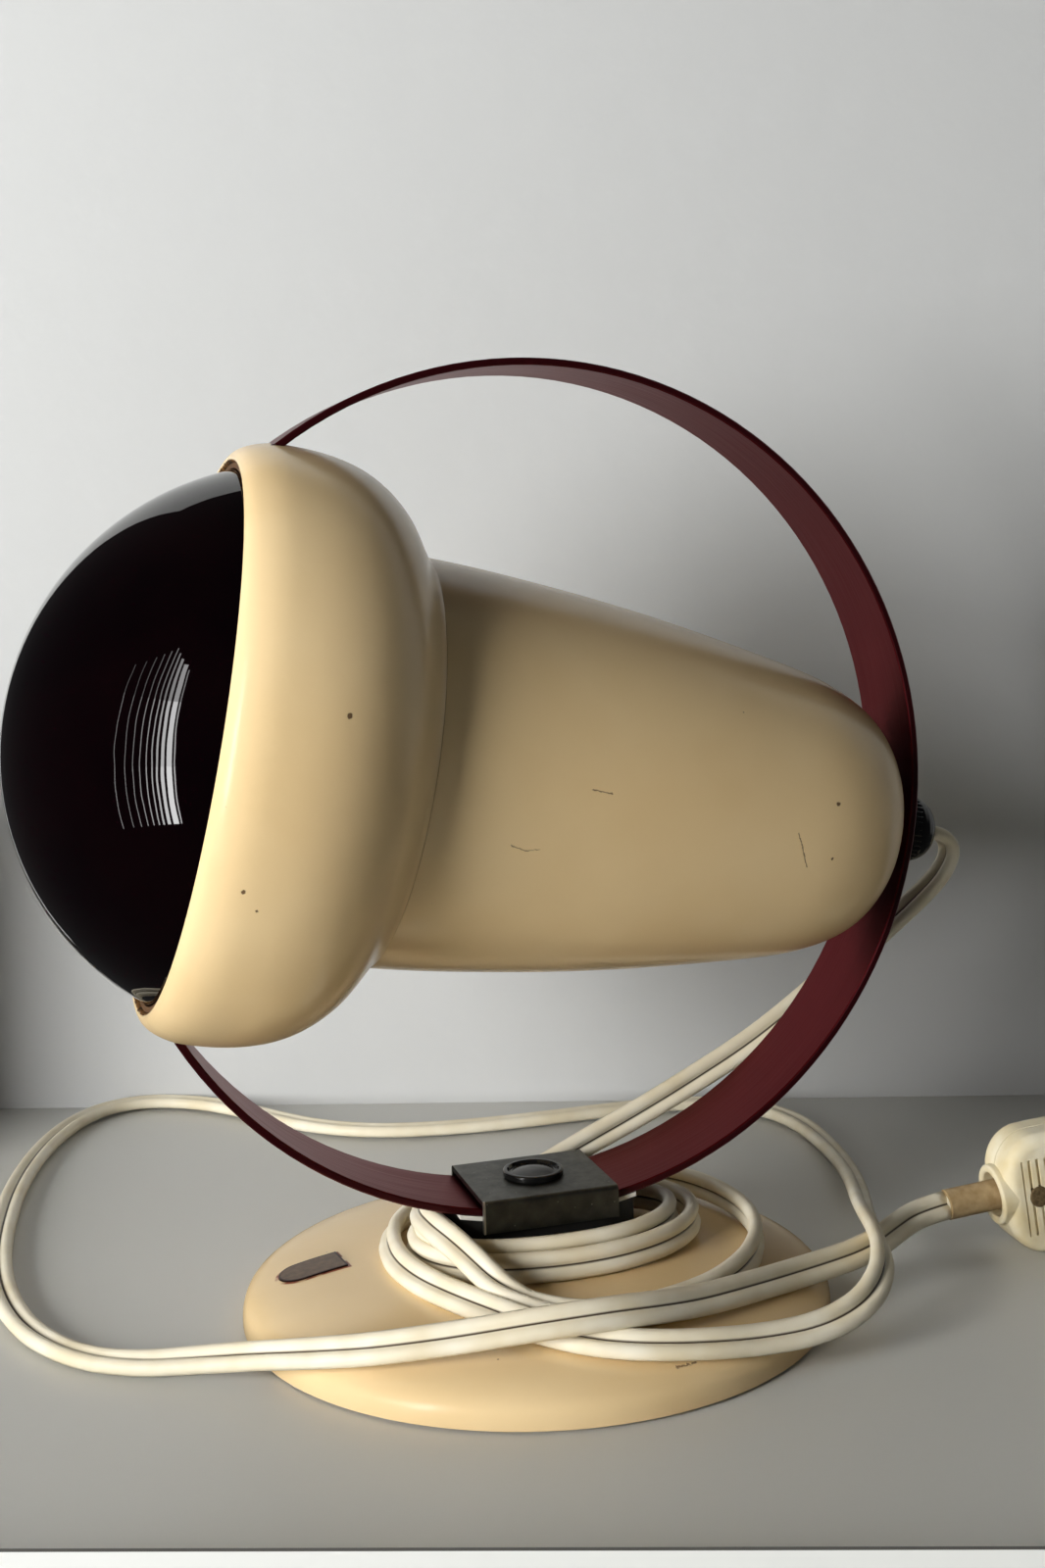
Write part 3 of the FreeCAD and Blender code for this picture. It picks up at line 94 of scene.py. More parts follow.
# %% [markdown]
# ## The camera
#
# The lamp is seen from a little above its middle, from the front left, through a moderate lens. The
# camera stands almost level, and the picture's window is shifted down instead of the camera tipping
# down, which keeps upright lines upright. A camera's matrix holds three directions, right, up and
# backwards, and a place; we build them from a turn, a pitch and a small roll.

# %% Camera
CAMERA_PLACE = Vector((-131.12, -440.04, 179.80)) * MM
CAMERA_TURN, CAMERA_PITCH, CAMERA_ROLL = 0.2945, 0.0391, -0.0290
FOCAL_PIXELS, FRAME_HEIGHT, SHIFT_PIXELS = 1884.38, 1600, -300

forward = Vector((math.sin(CAMERA_TURN) * math.cos(CAMERA_PITCH),
                  math.cos(CAMERA_TURN) * math.cos(CAMERA_PITCH), math.sin(CAMERA_PITCH)))
level_right = Vector((math.cos(CAMERA_TURN), -math.sin(CAMERA_TURN), 0))
level_up = level_right.cross(forward)
right = math.cos(CAMERA_ROLL) * level_right + math.sin(CAMERA_ROLL) * level_up
up = -math.sin(CAMERA_ROLL) * level_right + math.cos(CAMERA_ROLL) * level_up
lens = bpy.data.cameras.new("camera")
lens.sensor_width = 36.0
lens.lens = FOCAL_PIXELS / FRAME_HEIGHT * lens.sensor_width
lens.shift_y = SHIFT_PIXELS / FRAME_HEIGHT
lens.clip_start = 0.02
camera = bpy.data.objects.new("camera", lens)
turned = Matrix((right, up, -forward)).transposed().to_4x4()
camera.matrix_world = Matrix.Translation(CAMERA_PLACE) @ turned
bpy.context.scene.collection.objects.link(camera)
bpy.context.scene.camera = camera
print("lens", round(lens.lens, 1), "mm, shift", round(lens.shift_y, 4))

# %% [markdown]
# ## The studio
#
# A pale shelf and a pale plastered wall behind it carry the lamp's shadow. Both are plain sheets
# that meet in a straight corner. The wall has only one side: a Backfacing switch makes it clear
# from behind, so it never hides the lamp. A mottle in the paint is a bump only, because nothing
# here is looked at closely.

# %% Two makers for the stage
scene = bpy.context.scene
scene.view_settings.view_transform = "Standard"


def mesh_object(name, vertices, faces, smooth=True):
    """A mesh object at the origin, from points in metres."""
    mesh = bpy.data.meshes.new(name)
    mesh.from_pydata(vertices, [], faces)
    mesh.validate()
    mesh.update()
    if smooth:
        mesh.shade_smooth()
    piece = bpy.data.objects.new(name, mesh)
    scene.collection.objects.link(piece)
    return piece


MOTTLE_SIZE, MOTTLE_HEIGHT = 0.012, 0.0006


def plain_paint(name, colour, roughness, one_sided=False, lumps=0.12):
    """Matt wall paint with a faint mottle, for the stage only."""
    material = bpy.data.materials.new(name)
    material.use_nodes = True
    tree = material.node_tree
    tree.nodes.clear()
    where = add(tree, "ShaderNodeTexCoord").outputs["Object"]
    mottle = add(tree, "ShaderNodeTexNoise", {
        "Vector": where, "Scale": 1 / MOTTLE_SIZE, "Detail": 3.0})
    bump = add(tree, "ShaderNodeBump", {
        "Height": mottle, "Strength": lumps, "Distance": MOTTLE_HEIGHT})
    shader = add(tree, "ShaderNodeBsdfPrincipled", {
        "Base Color": linear(colour), "Roughness": roughness, "Normal": bump})
    if one_sided:
        behind = add(tree, "ShaderNodeNewGeometry").outputs["Backfacing"]
        clear = add(tree, "ShaderNodeBsdfTransparent")
        shader = add(tree, "ShaderNodeMixShader", {0: behind, 1: shader, 2: clear})
    add(tree, "ShaderNodeOutputMaterial", {"Surface": shader})
    return material


print("view transform:", scene.view_settings.view_transform)

# %% [markdown]
# ## Shelf, wall, card and rail
#
# The wall's foot runs from far on the left to near on the right, so the shelf is a wedge. The
# wall's top and left end are pieces of their own, hidden from mirrors, as the room round the shelf
# is dark. A card stands out of the picture on the left and shades the wall's lower left corner. A
# low white rail runs along the shelf's front, with a painted shadow on its top edge: a dark line
# where the joint is in shade.

# %% Shelf, wall, card and rail
WALL_LEFT, WALL_RIGHT = Vector((-0.0908, 0.2075, 0)), Vector((0.1862, 0.1070, 0))
wall_run = (WALL_RIGHT - WALL_LEFT).normalized()
wall_out = Vector((wall_run.y, -wall_run.x, 0))
WALL_BEFORE, WALL_LONG, WALL_HIGH, MIRRORED_UP_TO = 0.08, 2.0, 1.6, 0.45
SHELF_HALF = 3.0
CARD_OUT, CARD_DEEP, CARD_HIGH = 0.068, 0.10, 0.13
RAIL_FROM, RAIL_TO = Vector((-0.4, 0.0034, 0)), Vector((0.5, -0.3194, 0))
RAIL_HIGH, RAIL_SHADOW_LINE = 0.0085, 0.0006

shelf_corners = [(x * SHELF_HALF, y * SHELF_HALF, 0)
                 for x, y in ((-1, -1), (1, -1), (1, 1), (-1, 1))]
floor = mesh_object("stage_shelf", shelf_corners, [(0, 1, 2, 3)], smooth=False)
floor.data.materials.append(plain_paint("shelf_paint", "#c9c8c2", 0.42))
wall_foot = WALL_LEFT - wall_run * WALL_BEFORE
wall_paint = plain_paint("wall_paint", "#c0c1c0", 0.85, one_sided=True, lumps=0.45)


def upright(name, left, right, low, high, paint):
    """An upright rectangle over the line from left to right, between two heights."""
    corners = [left + Vector((0, 0, low)), right + Vector((0, 0, low)),
               right + Vector((0, 0, high)), left + Vector((0, 0, high))]
    piece = mesh_object(name, [tuple(c) for c in corners], [(0, 1, 2, 3)], smooth=False)
    piece.data.materials.append(paint)
    return piece


wall_end = wall_foot + wall_run * WALL_LONG
wall_far = wall_foot - wall_run * WALL_LONG
wall = upright("stage_wall", wall_foot, wall_end, 0.0, MIRRORED_UP_TO, wall_paint)
wall_top = upright("stage_wall_top", wall_foot, wall_end, MIRRORED_UP_TO, WALL_HIGH, wall_paint)
wall_left = upright("stage_wall_left", wall_far, wall_foot, 0.0, WALL_HIGH, wall_paint)
wall_top.visible_glossy = wall_left.visible_glossy = False
card_foot = WALL_LEFT - wall_run * CARD_OUT
card = upright("stage_card", card_foot, card_foot + wall_out * CARD_DEEP, 0.0, CARD_HIGH,
               plain_paint("card_black", "#2c2c2b", 0.9))
card.visible_camera = card.visible_glossy = False
rail = upright("stage_rail", RAIL_FROM, RAIL_TO, 0.0, RAIL_HIGH,
               plain_paint("rail_paint", "#d9dad6", 0.5))
# The dark line is painted shadow: a thin dark strip on the rail's top edge, where the joint is in
# shade.
rail_shadow_line = upright("stage_rail_shadow_line", RAIL_FROM, RAIL_TO, RAIL_HIGH, RAIL_HIGH + RAIL_SHADOW_LINE,
                    plain_paint("rail_painted_shadow", "#4b4a46", 0.8))
rail.visible_glossy = rail_shadow_line.visible_glossy = False

# %% [markdown]
# ## Light
#
# One tall window on the left does nearly all the work: it models the round forms from bright to
# dark. It is made of two things. A large soft light gives most of the light and is hidden from
# mirrors. A row of narrow upright lights, the slits of the window's blind, draws the sharp lines in
# the glass and the long highlights on the paint. A dim world fills the shadows, and a soft light
# behind the wall, which is clear from that side, gives the lamp's back enough light to be looked
# at. The shelf is hidden from mirrors too, so the lower half of the bulb stays dark, as in a dim
# room.

# %% Lights
def soft_light(name, place, aim, width, height, watts):
    """A rectangular area light at place, in metres, that faces aim."""
    data = bpy.data.lights.new(name, "AREA")
    data.shape, data.size, data.size_y = "RECTANGLE", width, height
    data.energy = watts
    light = bpy.data.objects.new(name, data)
    way = (Vector(aim) - Vector(place)).normalized()
    facing = way.to_track_quat("-Z", "Y").to_matrix().to_4x4()
    light.matrix_world = Matrix.Translation(place) @ facing
    light.visible_camera = False
    scene.collection.objects.link(light)
    return light


HEAD_MIDDLE = Vector((-0.03, 0.0, 0.12))
WINDOW_AWAY = 1.15


def window_light(name, turn, low, high, width, radiance):
    """An upright light of the window: turn is in degrees from straight in front to the left."""
    around = math.radians(turn)
    place = HEAD_MIDDLE + WINDOW_AWAY * Vector((-math.sin(around), -math.cos(around), 0))
    place.z = (low + high) / 2
    aim = Vector((HEAD_MIDDLE.x, HEAD_MIDDLE.y, place.z))
    watts = radiance * math.pi * width * (high - low)
    return soft_light(name, place, aim, width, high - low, watts)


window = window_light("window_soft", 62.0, 0.02, 0.66, 0.60, 19.2)
window.visible_glossy = False
SLITS = [
    # turn, width in metres, radiance
    (53.8, 0.010, 14.0), (55.8, 0.040, 22.0), (58.4, 0.026, 18.0), (60.6, 0.015, 14.0),
    (62.6, 0.010, 12.0), (64.9, 0.008, 11.0), (67.5, 0.007, 9.0), (70.5, 0.006, 8.0),
    (74.0, 0.005, 7.0), (78.5, 0.005, 8.0),
]
HIGHEST_SLIT, SLIT_TOP, SLIT_STEP = 4, 1.02, 0.05
SLIT_LOW, SLIT_LOW_END, SLIT_MIDDLE_END = -0.30, 0.10, 0.55
for number, (turn, slit_width, radiance) in enumerate(SLITS):
    top = SLIT_TOP - SLIT_STEP * abs(number - HIGHEST_SLIT)
    for part, low, high, share in (("top", SLIT_MIDDLE_END, top, 0.4),
                                   ("middle", SLIT_LOW_END, SLIT_MIDDLE_END, 0.8),
                                   ("low", SLIT_LOW, SLIT_LOW_END, 1.0)):
        slit = window_light(f"slit_{part}_{turn:.0f}", turn, low, high, slit_width,
                            radiance * share)
        slit.visible_diffuse = False
back_fill = soft_light("back_fill", (0.9, 1.5, 1.0), HEAD_MIDDLE, 1.4, 1.2, 4.0)
back_fill.visible_glossy = False
floor.visible_glossy = False
world = bpy.data.worlds.new("studio")
world.use_nodes = True
world.node_tree.nodes.clear()
sky = add(world.node_tree, "ShaderNodeBackground", {
    "Color": linear("#e9ecee"), "Strength": 0.035})
add(world.node_tree, "ShaderNodeOutputWorld", {"Surface": sky})
scene.world = world

# %% [markdown]
# ## The flex's route
#
# A real flex is one length that leaves the knob, sags to the foot, winds round it twice and then
# wanders off over the base and the shelf to its plug. Its middle line is a NURBS curve with the
# same control points as the CAD model's tube. A NURBS spline of order 3 rounds every corner
# smoothly, and "endpoint" makes it start and end exactly on its first and last points. Both
# settings go on after the points are there.

# %% Route of the flex, in millimetres
DROP_ROUTE = [
    (111.2, 0.0, 105.8), (116.2, 0.0, 104.8), (118.6, 0.6, 99.5), (115.0, 1.8, 92.9),
    (107.5, 3.8, 86.0), (98.5, 8.0, 77.5), (89.5, 12.6, 68.5), (79.5, 16.2, 59.5),
    (66.0, 17.8, 50.5), (51.5, 18.2, 43.4), (35.5, 18.6, 36.0), (19.5, 18.4, 29.6),
    (7.5, 18.2, 24.6), (-3.0, 17.6, 19.6),
]
COIL_ROUTE = [
    (-13.5, 16.2, 18.8), (-22.0, 12.0, 18.3), (-28.0, 5.0, 18.2), (-29.0, -4.0, 18.1),
    (-25.0, -12.0, 18.3), (-17.0, -17.6, 18.5), (-6.0, -20.2, 18.6), (7.0, -20.6, 18.6),
    (19.0, -18.5, 18.6), (28.5, -13.0, 18.6), (34.5, -5.0, 18.4), (35.5, 4.0, 18.0),
    (30.0, 12.0, 17.6), (20.0, 16.6, 17.3), (6.0, 17.8, 17.0), (-8.0, 17.6, 16.6),
    (-20.0, 15.2, 16.4), (-28.0, 8.5, 16.3), (-31.0, -1.0, 16.3), (-29.0, -11.0, 16.3),
    (-21.5, -18.6, 16.3), (-11.0, -22.6, 16.3), (2.0, -24.2, 16.3), (15.0, -23.0, 16.3),
    (27.0, -18.6, 16.3), (36.5, -11.0, 16.3), (41.5, -1.5, 16.4), (41.0, 9.0, 16.6),
    (34.5, 17.0, 17.0), (23.0, 20.6, 17.6), (9.0, 20.6, 18.2),
]
LEAD_ROUTE = [
    (-9.0, 18.4, 18.6), (-17.5, 17.5, 20.8), (-24.5, 12.5, 22.2), (-28.0, 4.0, 23.0),
    (-27.5, -7.0, 23.4), (-25.5, -18.5, 23.2), (-22.8, -26.5, 21.2), (-19.5, -32.0, 18.0),
    (-15.0, -37.0, 15.5), (-8.5, -42.5, 14.3), (-0.7, -47.3, 14.0), (9.0, -49.0, 13.8),
    (20.0, -46.5, 13.6), (31.5, -41.5, 13.8), (41.0, -33.5, 14.0), (49.0, -22.5, 14.0),
    (54.5, -9.5, 14.0), (56.0, 4.0, 14.1), (53.5, 18.0, 14.3), (46.5, 30.5, 14.6),
    (34.5, 38.5, 14.6), (19.0, 42.0, 14.5), (3.0, 41.5, 14.6), (-12.0, 36.5, 14.9),
    (-25.5, 27.0, 15.2), (-33.5, 14.5, 15.1), (-35.9, -1.0, 14.9), (-33.5, -15.5, 14.8),
    (-27.7, -28.7, 14.7), (-20.8, -40.5, 14.3), (-13.3, -50.8, 13.6), (-4.4, -58.2, 12.7),
    (6.7, -62.4, 11.9), (20.0, -63.6, 10.7), (33.5, -62.2, 9.2), (47.0, -61.0, 9.1),
    (58.5, -57.8, 11.0), (66.5, -52.0, 13.8), (71.8, -43.5, 16.0), (75.5, -32.5, 16.6),
    (80.5, -18.5, 15.2), (87.5, -2.0, 11.8), (96.0, 17.0, 8.4), (104.0, 37.0, 5.6),
    (110.5, 57.5, 3.6), (114.5, 78.0, 2.7), (116.0, 96.0, 2.5), (112.5, 111.0, 2.5),
    (103.0, 122.5, 2.5), (88.0, 129.5, 2.5), (67.0, 131.0, 2.5), (45.0, 130.5, 2.5),
    (24.0, 131.0, 2.5), (5.0, 133.5, 2.5), (-12.0, 139.0, 2.5), (-26.0, 149.0, 2.5),
    (-37.0, 163.0, 2.5), (-47.0, 178.0, 2.5), (-59.0, 191.5, 2.5), (-74.5, 200.0, 2.5),
    (-89.0, 197.0, 2.5), (-99.5, 185.0, 2.5), (-108.5, 166.0, 2.5), (-115.5, 143.5, 2.5),
    (-120.5, 120.0, 2.5), (-123.5, 97.0, 2.5), (-125.5, 74.0, 2.5), (-125.5, 51.5, 2.5),
    (-123.0, 31.0, 2.5), (-118.0, 13.5, 2.5), (-109.0, -1.5, 2.5), (-97.0, -10.5, 2.9),
    (-84.5, -16.5, 4.3), (-74.5, -23.5, 6.4), (-67.0, -31.0, 8.6), (-59.5, -37.3, 10.4),
    (-51.0, -43.5, 12.2), (-42.0, -48.0, 13.8), (-31.0, -52.0, 15.4), (-19.7, -56.3, 17.4),
    (-8.4, -58.4, 18.3), (2.2, -57.8, 18.0), (12.4, -55.2, 16.6), (23.0, -51.0, 14.9),
    (33.5, -46.5, 13.9), (44.5, -41.0, 12.6), (55.5, -35.5, 11.5), (65.0, -31.5, 11.0),
    (73.0, -28.2, 10.8), (81.0, -23.6, 10.8), (89.5, -17.0, 10.9), (98.5, -11.3, 11.5),
]
PLUG_ENTRY = (106.73, -11.29, 12.49)
ROUTE = DROP_ROUTE + COIL_ROUTE + LEAD_ROUTE + [PLUG_ENTRY]
LINE_STEPS = 6


def smooth_line(name, points, steps):
    """The points of the NURBS line that has these control points, in metres."""
    data = bpy.data.curves.new(name, "CURVE")
    data.dimensions = "3D"
    data.resolution_u = steps
    spline = data.splines.new("NURBS")
    spline.points.add(len(points) - 1)
    for point, place in zip(spline.points, points):
        point.co = (*(Vector(place) * MM), 1.0)
    spline.order_u = 3
    spline.use_endpoint_u = True
    carrier = bpy.data.objects.new(name, data)
    scene.collection.objects.link(carrier)
    bpy.context.view_layer.update()
    evaluated = carrier.evaluated_get(bpy.context.evaluated_depsgraph_get())
    line = bpy.data.meshes.new_from_object(evaluated)
    places = [v.co.copy() for v in line.vertices]
    bpy.data.objects.remove(carrier)
    return places


flex_line = smooth_line("flex_line", ROUTE, LINE_STEPS)

# %% [markdown]
# ## A flat section that twists
#
# Twin flex is two round cores side by side with a thin web between them, like a figure of eight. A
# bevelled curve can only sweep a round or a fixed profile, and it turns the profile by its own
# rule. Here the twist matters: the flex stands on its edge where it is wound round the foot and
# lies flat on the shelf. So we sweep the section ourselves, and a short list says which way its
# broad face looks at some of the stations.

# %% Which way the broad face looks, at numbered control points
COIL_AT = len(DROP_ROUTE)
LEAD_AT = COIL_AT + len(COIL_ROUTE)
FACING = [
    (0, (0.0, 0.0, 1.0)), (1, (0.5, 0.0, 1.0)), (2, (1.0, 0.0, 0.2)), (3, (0.9, 0.2, -0.4)),
    (6, (0.5, 0.8, -0.4)), (9, (0.0, 1.0, -0.1)), (13, (0.0, 1.0, 0.1)),
    (COIL_AT + 3, (-1.0, 0.0, 0.1)), (COIL_AT + 7, (0.0, -1.0, 0.1)),
    (COIL_AT + 11, (1.0, 0.1, 0.1)), (COIL_AT + 14, (0.0, 1.0, 0.1)),
    (COIL_AT + 18, (-1.0, 0.0, 0.1)), (COIL_AT + 22, (0.0, -1.0, 0.1)),
    (COIL_AT + 26, (1.0, 0.0, 0.1)), (COIL_AT + 30, (0.0, 1.0, 0.2)),
    (LEAD_AT + 1, (-0.2, 0.9, 0.4)), (LEAD_AT + 4, (-0.9, 0.0, 0.6)),
    (LEAD_AT + 6, (-0.5, -0.5, 0.7)), (LEAD_AT + 8, (0.1, 0.0, 1.0)),
    (LEAD_AT + 10, (0.1, -0.3, 1.0)), (LEAD_AT + 12, (0.3, -0.8, 0.6)),
    (LEAD_AT + 15, (1.0, -0.4, 0.1)), (LEAD_AT + 18, (1.0, 0.4, 0.1)),
    (LEAD_AT + 21, (0.1, 1.0, 0.2)), (LEAD_AT + 24, (-0.7, 0.6, 0.4)),
    (LEAD_AT + 27, (-0.8, -0.1, 0.7)), (LEAD_AT + 30, (-0.4, -0.5, 0.8)),
    (LEAD_AT + 33, (0.0, -0.6, 0.8)), (LEAD_AT + 36, (0.3, -0.7, 0.7)),
    (LEAD_AT + 39, (0.9, -0.2, 0.4)), (LEAD_AT + 43, (0.5, -0.2, 0.9)),
    (LEAD_AT + 46, (0.0, 0.0, 1.0)), (LEAD_AT + 70, (0.0, 0.0, 1.0)),
    (LEAD_AT + 73, (-0.2, -0.5, 0.9)), (LEAD_AT + 78, (-0.2, -0.8, 0.6)),
    (LEAD_AT + 92, (-0.1, -0.8, 0.6)),
]


def facing_at(station):
    """The direction that the broad face looks in at a place along the control points."""
    for (a, before), (b, after) in zip(FACING, FACING[1:]):
        if station <= b:
            share = (station - a) / (b - a)
            return Vector(before).lerp(Vector(after), max(0.0, share))
    return Vector(FACING[-1][1])


print("stations with a facing:", len(FACING), "of", len(ROUTE))

# %% [markdown]
# ## The sweep
#
# The section is a closed figure of points, listed once round. At each point of the middle line it
# is set square to the line, with its broad face turned as the list says, and neighbouring sections
# are joined by quads. Each point remembers whether it lies on the web, so that the material can
# darken the groove.

# %% The section of the flex, and its sweep
CORE_R, CORE_APART, WEB_HALF = 1.75, 3.5, 0.55
CORE_STEPS = 9


def flex_section():
    """The figure of eight as (across, through, groove) in millimetres; groove is 1 on the web."""
    start = math.asin(WEB_HALF / CORE_R)
    angles = [math.pi - start - (2 * math.pi - 2 * start) * k / CORE_STEPS
              for k in range(CORE_STEPS + 1)]
    one_side = [(CORE_APART / 2 + CORE_R * math.cos(a), CORE_R * math.sin(a),
                 1.0 if k in (0, CORE_STEPS) else 0.0) for k, a in enumerate(angles)]
    middle = [(0.0, -WEB_HALF, 1.0)]
    other_side = [(-x, -y, g) for x, y, g in one_side]
    return one_side + middle + other_side + [(0.0, WEB_HALF, 1.0)]


def sweep(name, line, section, stations_per_point):
    """A closed tube with this section along the line, turned as FACING says."""
    vertices, grooves = [], []
    count, around = len(line), len(section)
    for k, place in enumerate(line):
        along = (line[min(k + 1, count - 1)] - line[max(k - 1, 0)]).normalized()
        face = facing_at(k * stations_per_point)
        face = (face - along * face.dot(along)).normalized()
        across = along.cross(face)
        for x, y, groove in section:
            vertices.append(place + (across * x + face * y) * MM)
            grooves.append(groove)
    faces = [(k * around + i, k * around + (i + 1) % around, (k + 1) * around + (i + 1) % around,
              (k + 1) * around + i) for k in range(count - 1) for i in range(around)]
    faces += [tuple(range(around)), tuple((count - 1) * around + i for i in reversed(range(around)))]
    piece = mesh_object(name, vertices, faces)
    mark = piece.data.attributes.new("groove", "FLOAT", "POINT")
    mark.data.foreach_set("value", grooves)
    tidy = bmesh.new()
    tidy.from_mesh(piece.data)
    bmesh.ops.recalc_face_normals(tidy, faces=tidy.faces)
    tidy.to_mesh(piece.data)
    tidy.free()
    return piece


flex = sweep("flex", flex_line, flex_section(), (len(ROUTE) - 1) / (len(flex_line) - 1))
lowest = min(v.co.z for v in flex.data.vertices)
print("flex mesh:", len(flex.data.polygons), "faces, lowest point", round(lowest / MM, 2), "mm")

# %% [markdown]
# ## Materials
#
# Every finish starts from what the real part is made of. Patterns are placed by Object coordinates,
# turned to millimetres by a Mapping node, so that a noise of scale 1/20 has lumps of 20 mm. Three
# small recipes come back in nearly every finish: two close colours that mix in lumps, a value that
# wanders between two others, and a skin of fine bumps. Each is a short chain of nodes.

# %% A start for every material, and three recipes
finishes = {}


def start(name, colour, roughness, constants=None):
    """A new material with its shader, and the place in millimetres that its patterns read."""
    material = bpy.data.materials.new(name)
    material.use_nodes = True
    tree = material.node_tree
    tree.nodes.clear()
    shader = add(tree, "ShaderNodeBsdfPrincipled", {
        "Base Color": linear(colour), "Roughness": roughness, **(constants or {})})
    add(tree, "ShaderNodeOutputMaterial", {"Surface": shader})
    where = add(tree, "ShaderNodeTexCoord").outputs["Object"]
    place = add(tree, "ShaderNodeMapping", {"Vector": where, "Scale": (1000, 1000, 1000)})
    return material, tree, shader, place


def mottled(tree, place, grain, colours, detail=2.0, span=(0.35, 0.70), most=1.0):
    """The first colour turning into the second in lumps of grain millimetres."""
    lumps = add(tree, "ShaderNodeTexNoise", {"Vector": place, "Scale": 1 / grain, "Detail": detail})
    share = add(tree, "ShaderNodeMapRange", {
        "Value": lumps, "From Min": span[0], "From Max": span[1], "To Max": most})
    first, second = (linear(colour) for colour in colours)
    return add(tree, "ShaderNodeMix", {0: share, 6: first, 7: second}, data_type="RGBA").outputs[2]


def wandering(tree, place, grain, low, high, detail=2.0, span=(0.0, 1.0)):
    """A value between low and high that changes in lumps of grain millimetres."""
    lumps = add(tree, "ShaderNodeTexNoise", {"Vector": place, "Scale": 1 / grain, "Detail": detail})
    return add(tree, "ShaderNodeMapRange", {
        "Value": lumps, "From Min": span[0], "From Max": span[1], "To Min": low, "To Max": high})


def skin(tree, place, grain, strength, height, detail=2.0):
    """A bump of fine lumps, grain millimetres apart; height is in metres."""
    lumps = add(tree, "ShaderNodeTexNoise", {"Vector": place, "Scale": 1 / grain, "Detail": detail})
    return add(tree, "ShaderNodeBump", {"Height": lumps, "Strength": strength, "Distance": height})


print("recipes ready, finishes so far:", len(finishes))

# %% [markdown]
# ## The edge of the badge
#
# A small plate is glued to the foot with red mastic, which shows as a line round it. A pattern that
# follows an outline needs the distance to that outline. The plate is a rectangle with one round
# end, so its distance is the largest of four: to the long sides, to the square end, to the round
# end, and a fourth that keeps the pattern off the parts above the foot.

# %% Distance to the badge's outline
BADGE_MIDDLE, BADGE_TURN = (-53.56, 11.19, 0.0), math.radians(6.0)
BADGE_HALF_LONG, BADGE_HALF_WIDE, BADGE_UNDER = 7.85, 5.2, 20.0
BADGE_END_MIDDLE, BADGE_END_R = -2.58, 5.27


def badge_edge(tree, place):
    """How far a place is outside the badge's outline, in millimetres; less than 0 on the badge."""
    turned = add(tree, "ShaderNodeMapping", {
        "Vector": place, "Location": BADGE_MIDDLE, "Rotation": (0.0, 0.0, BADGE_TURN)},
        vector_type="TEXTURE")
    part = add(tree, "ShaderNodeSeparateXYZ", {0: turned}).outputs
    aside = add(tree, "ShaderNodeMath", {0: part[1]}, operation="ABSOLUTE")
    across = add(tree, "ShaderNodeMath", {0: aside, 1: BADGE_HALF_WIDE}, operation="SUBTRACT")
    along = add(tree, "ShaderNodeMath", {0: part[0], 1: BADGE_HALF_LONG}, operation="SUBTRACT")
    to_end = add(tree, "ShaderNodeMath", {0: part[0], 1: BADGE_END_MIDDLE}, operation="SUBTRACT")
    past_end = add(tree, "ShaderNodeMath", {0: to_end, 1: 0.0}, operation="MINIMUM")
    spot = add(tree, "ShaderNodeCombineXYZ", {0: past_end, 1: part[1]})
    away = add(tree, "ShaderNodeVectorMath", {0: spot}, operation="LENGTH").outputs["Value"]
    round_end = add(tree, "ShaderNodeMath", {0: away, 1: BADGE_END_R}, operation="SUBTRACT")
    above = add(tree, "ShaderNodeMath", {0: part[2], 1: BADGE_UNDER}, operation="SUBTRACT")
    straight = add(tree, "ShaderNodeMath", {0: across, 1: along}, operation="MAXIMUM")
    others = add(tree, "ShaderNodeMath", {0: round_end, 1: above}, operation="MAXIMUM")
    return add(tree, "ShaderNodeMath", {0: straight, 1: others}, operation="MAXIMUM")


print("badge:", 2 * BADGE_HALF_LONG, "x", 2 * BADGE_HALF_WIDE, "mm")

# %% [markdown]
# ## Where the paint is off
#
# Old enamel has chips, fine cracks and pinholes, down to the dark primer. A chip is a spot whose
# distance from its centre is less than its size, and a crack is the same with the distance from a
# short line. A little noise in the place that they read makes their rims ragged. The shells curve
# away from the listed places, so depth counts for a quarter in the distances.

# %% Chips, cracks and pinholes
PAINT_CHIPS = [
    # place and size in millimetres
    ((-56.4, -67.9, 149.6), 0.6), ((-78.4, -64.3, 115.1), 0.45), ((-81.7, -65.6, 132.6), 0.45),
    ((68.0, -36.0, 119.9), 0.6), ((-75.6, -63.4, 110.8), 0.3), ((-86.1, -57.0, 108.6), 0.4),
    ((65.9, -35.7, 107.0), 0.35), ((-7.2, -33.9, 12.2), 0.5), ((20.0, 47.5, 150.0), 0.6),
    ((-64.0, 62.0, 160.0), 0.7), ((30.0, 52.0, 9.8), 0.6),
]
PAINT_CRACKS = [
    # both ends in millimetres
    ((2.6, -46.7, 128.5), (7.4, -46.3, 127.3)), ((-17.0, -46.4, 117.7), (-13.2, -46.0, 116.0)),
    ((-13.2, -46.0, 116.0), (-10.1, -45.7, 116.2)), ((56.2, -38.8, 114.1), (58.9, -36.8, 105.6)),
    ((11.2, -65.0, 7.7), (16.0, -64.0, 7.6)),
]
RAGGED, DEPTH_SHARE = 0.9, 0.25
PINHOLES_APART = 15.0


def pulled(spot):
    """A listed place as the ragged pattern sees it: shifted by its mean and flattened in depth."""
    x, y, z = (value + RAGGED / 2 for value in spot)
    return Vector((x, y * DEPTH_SHARE, z))


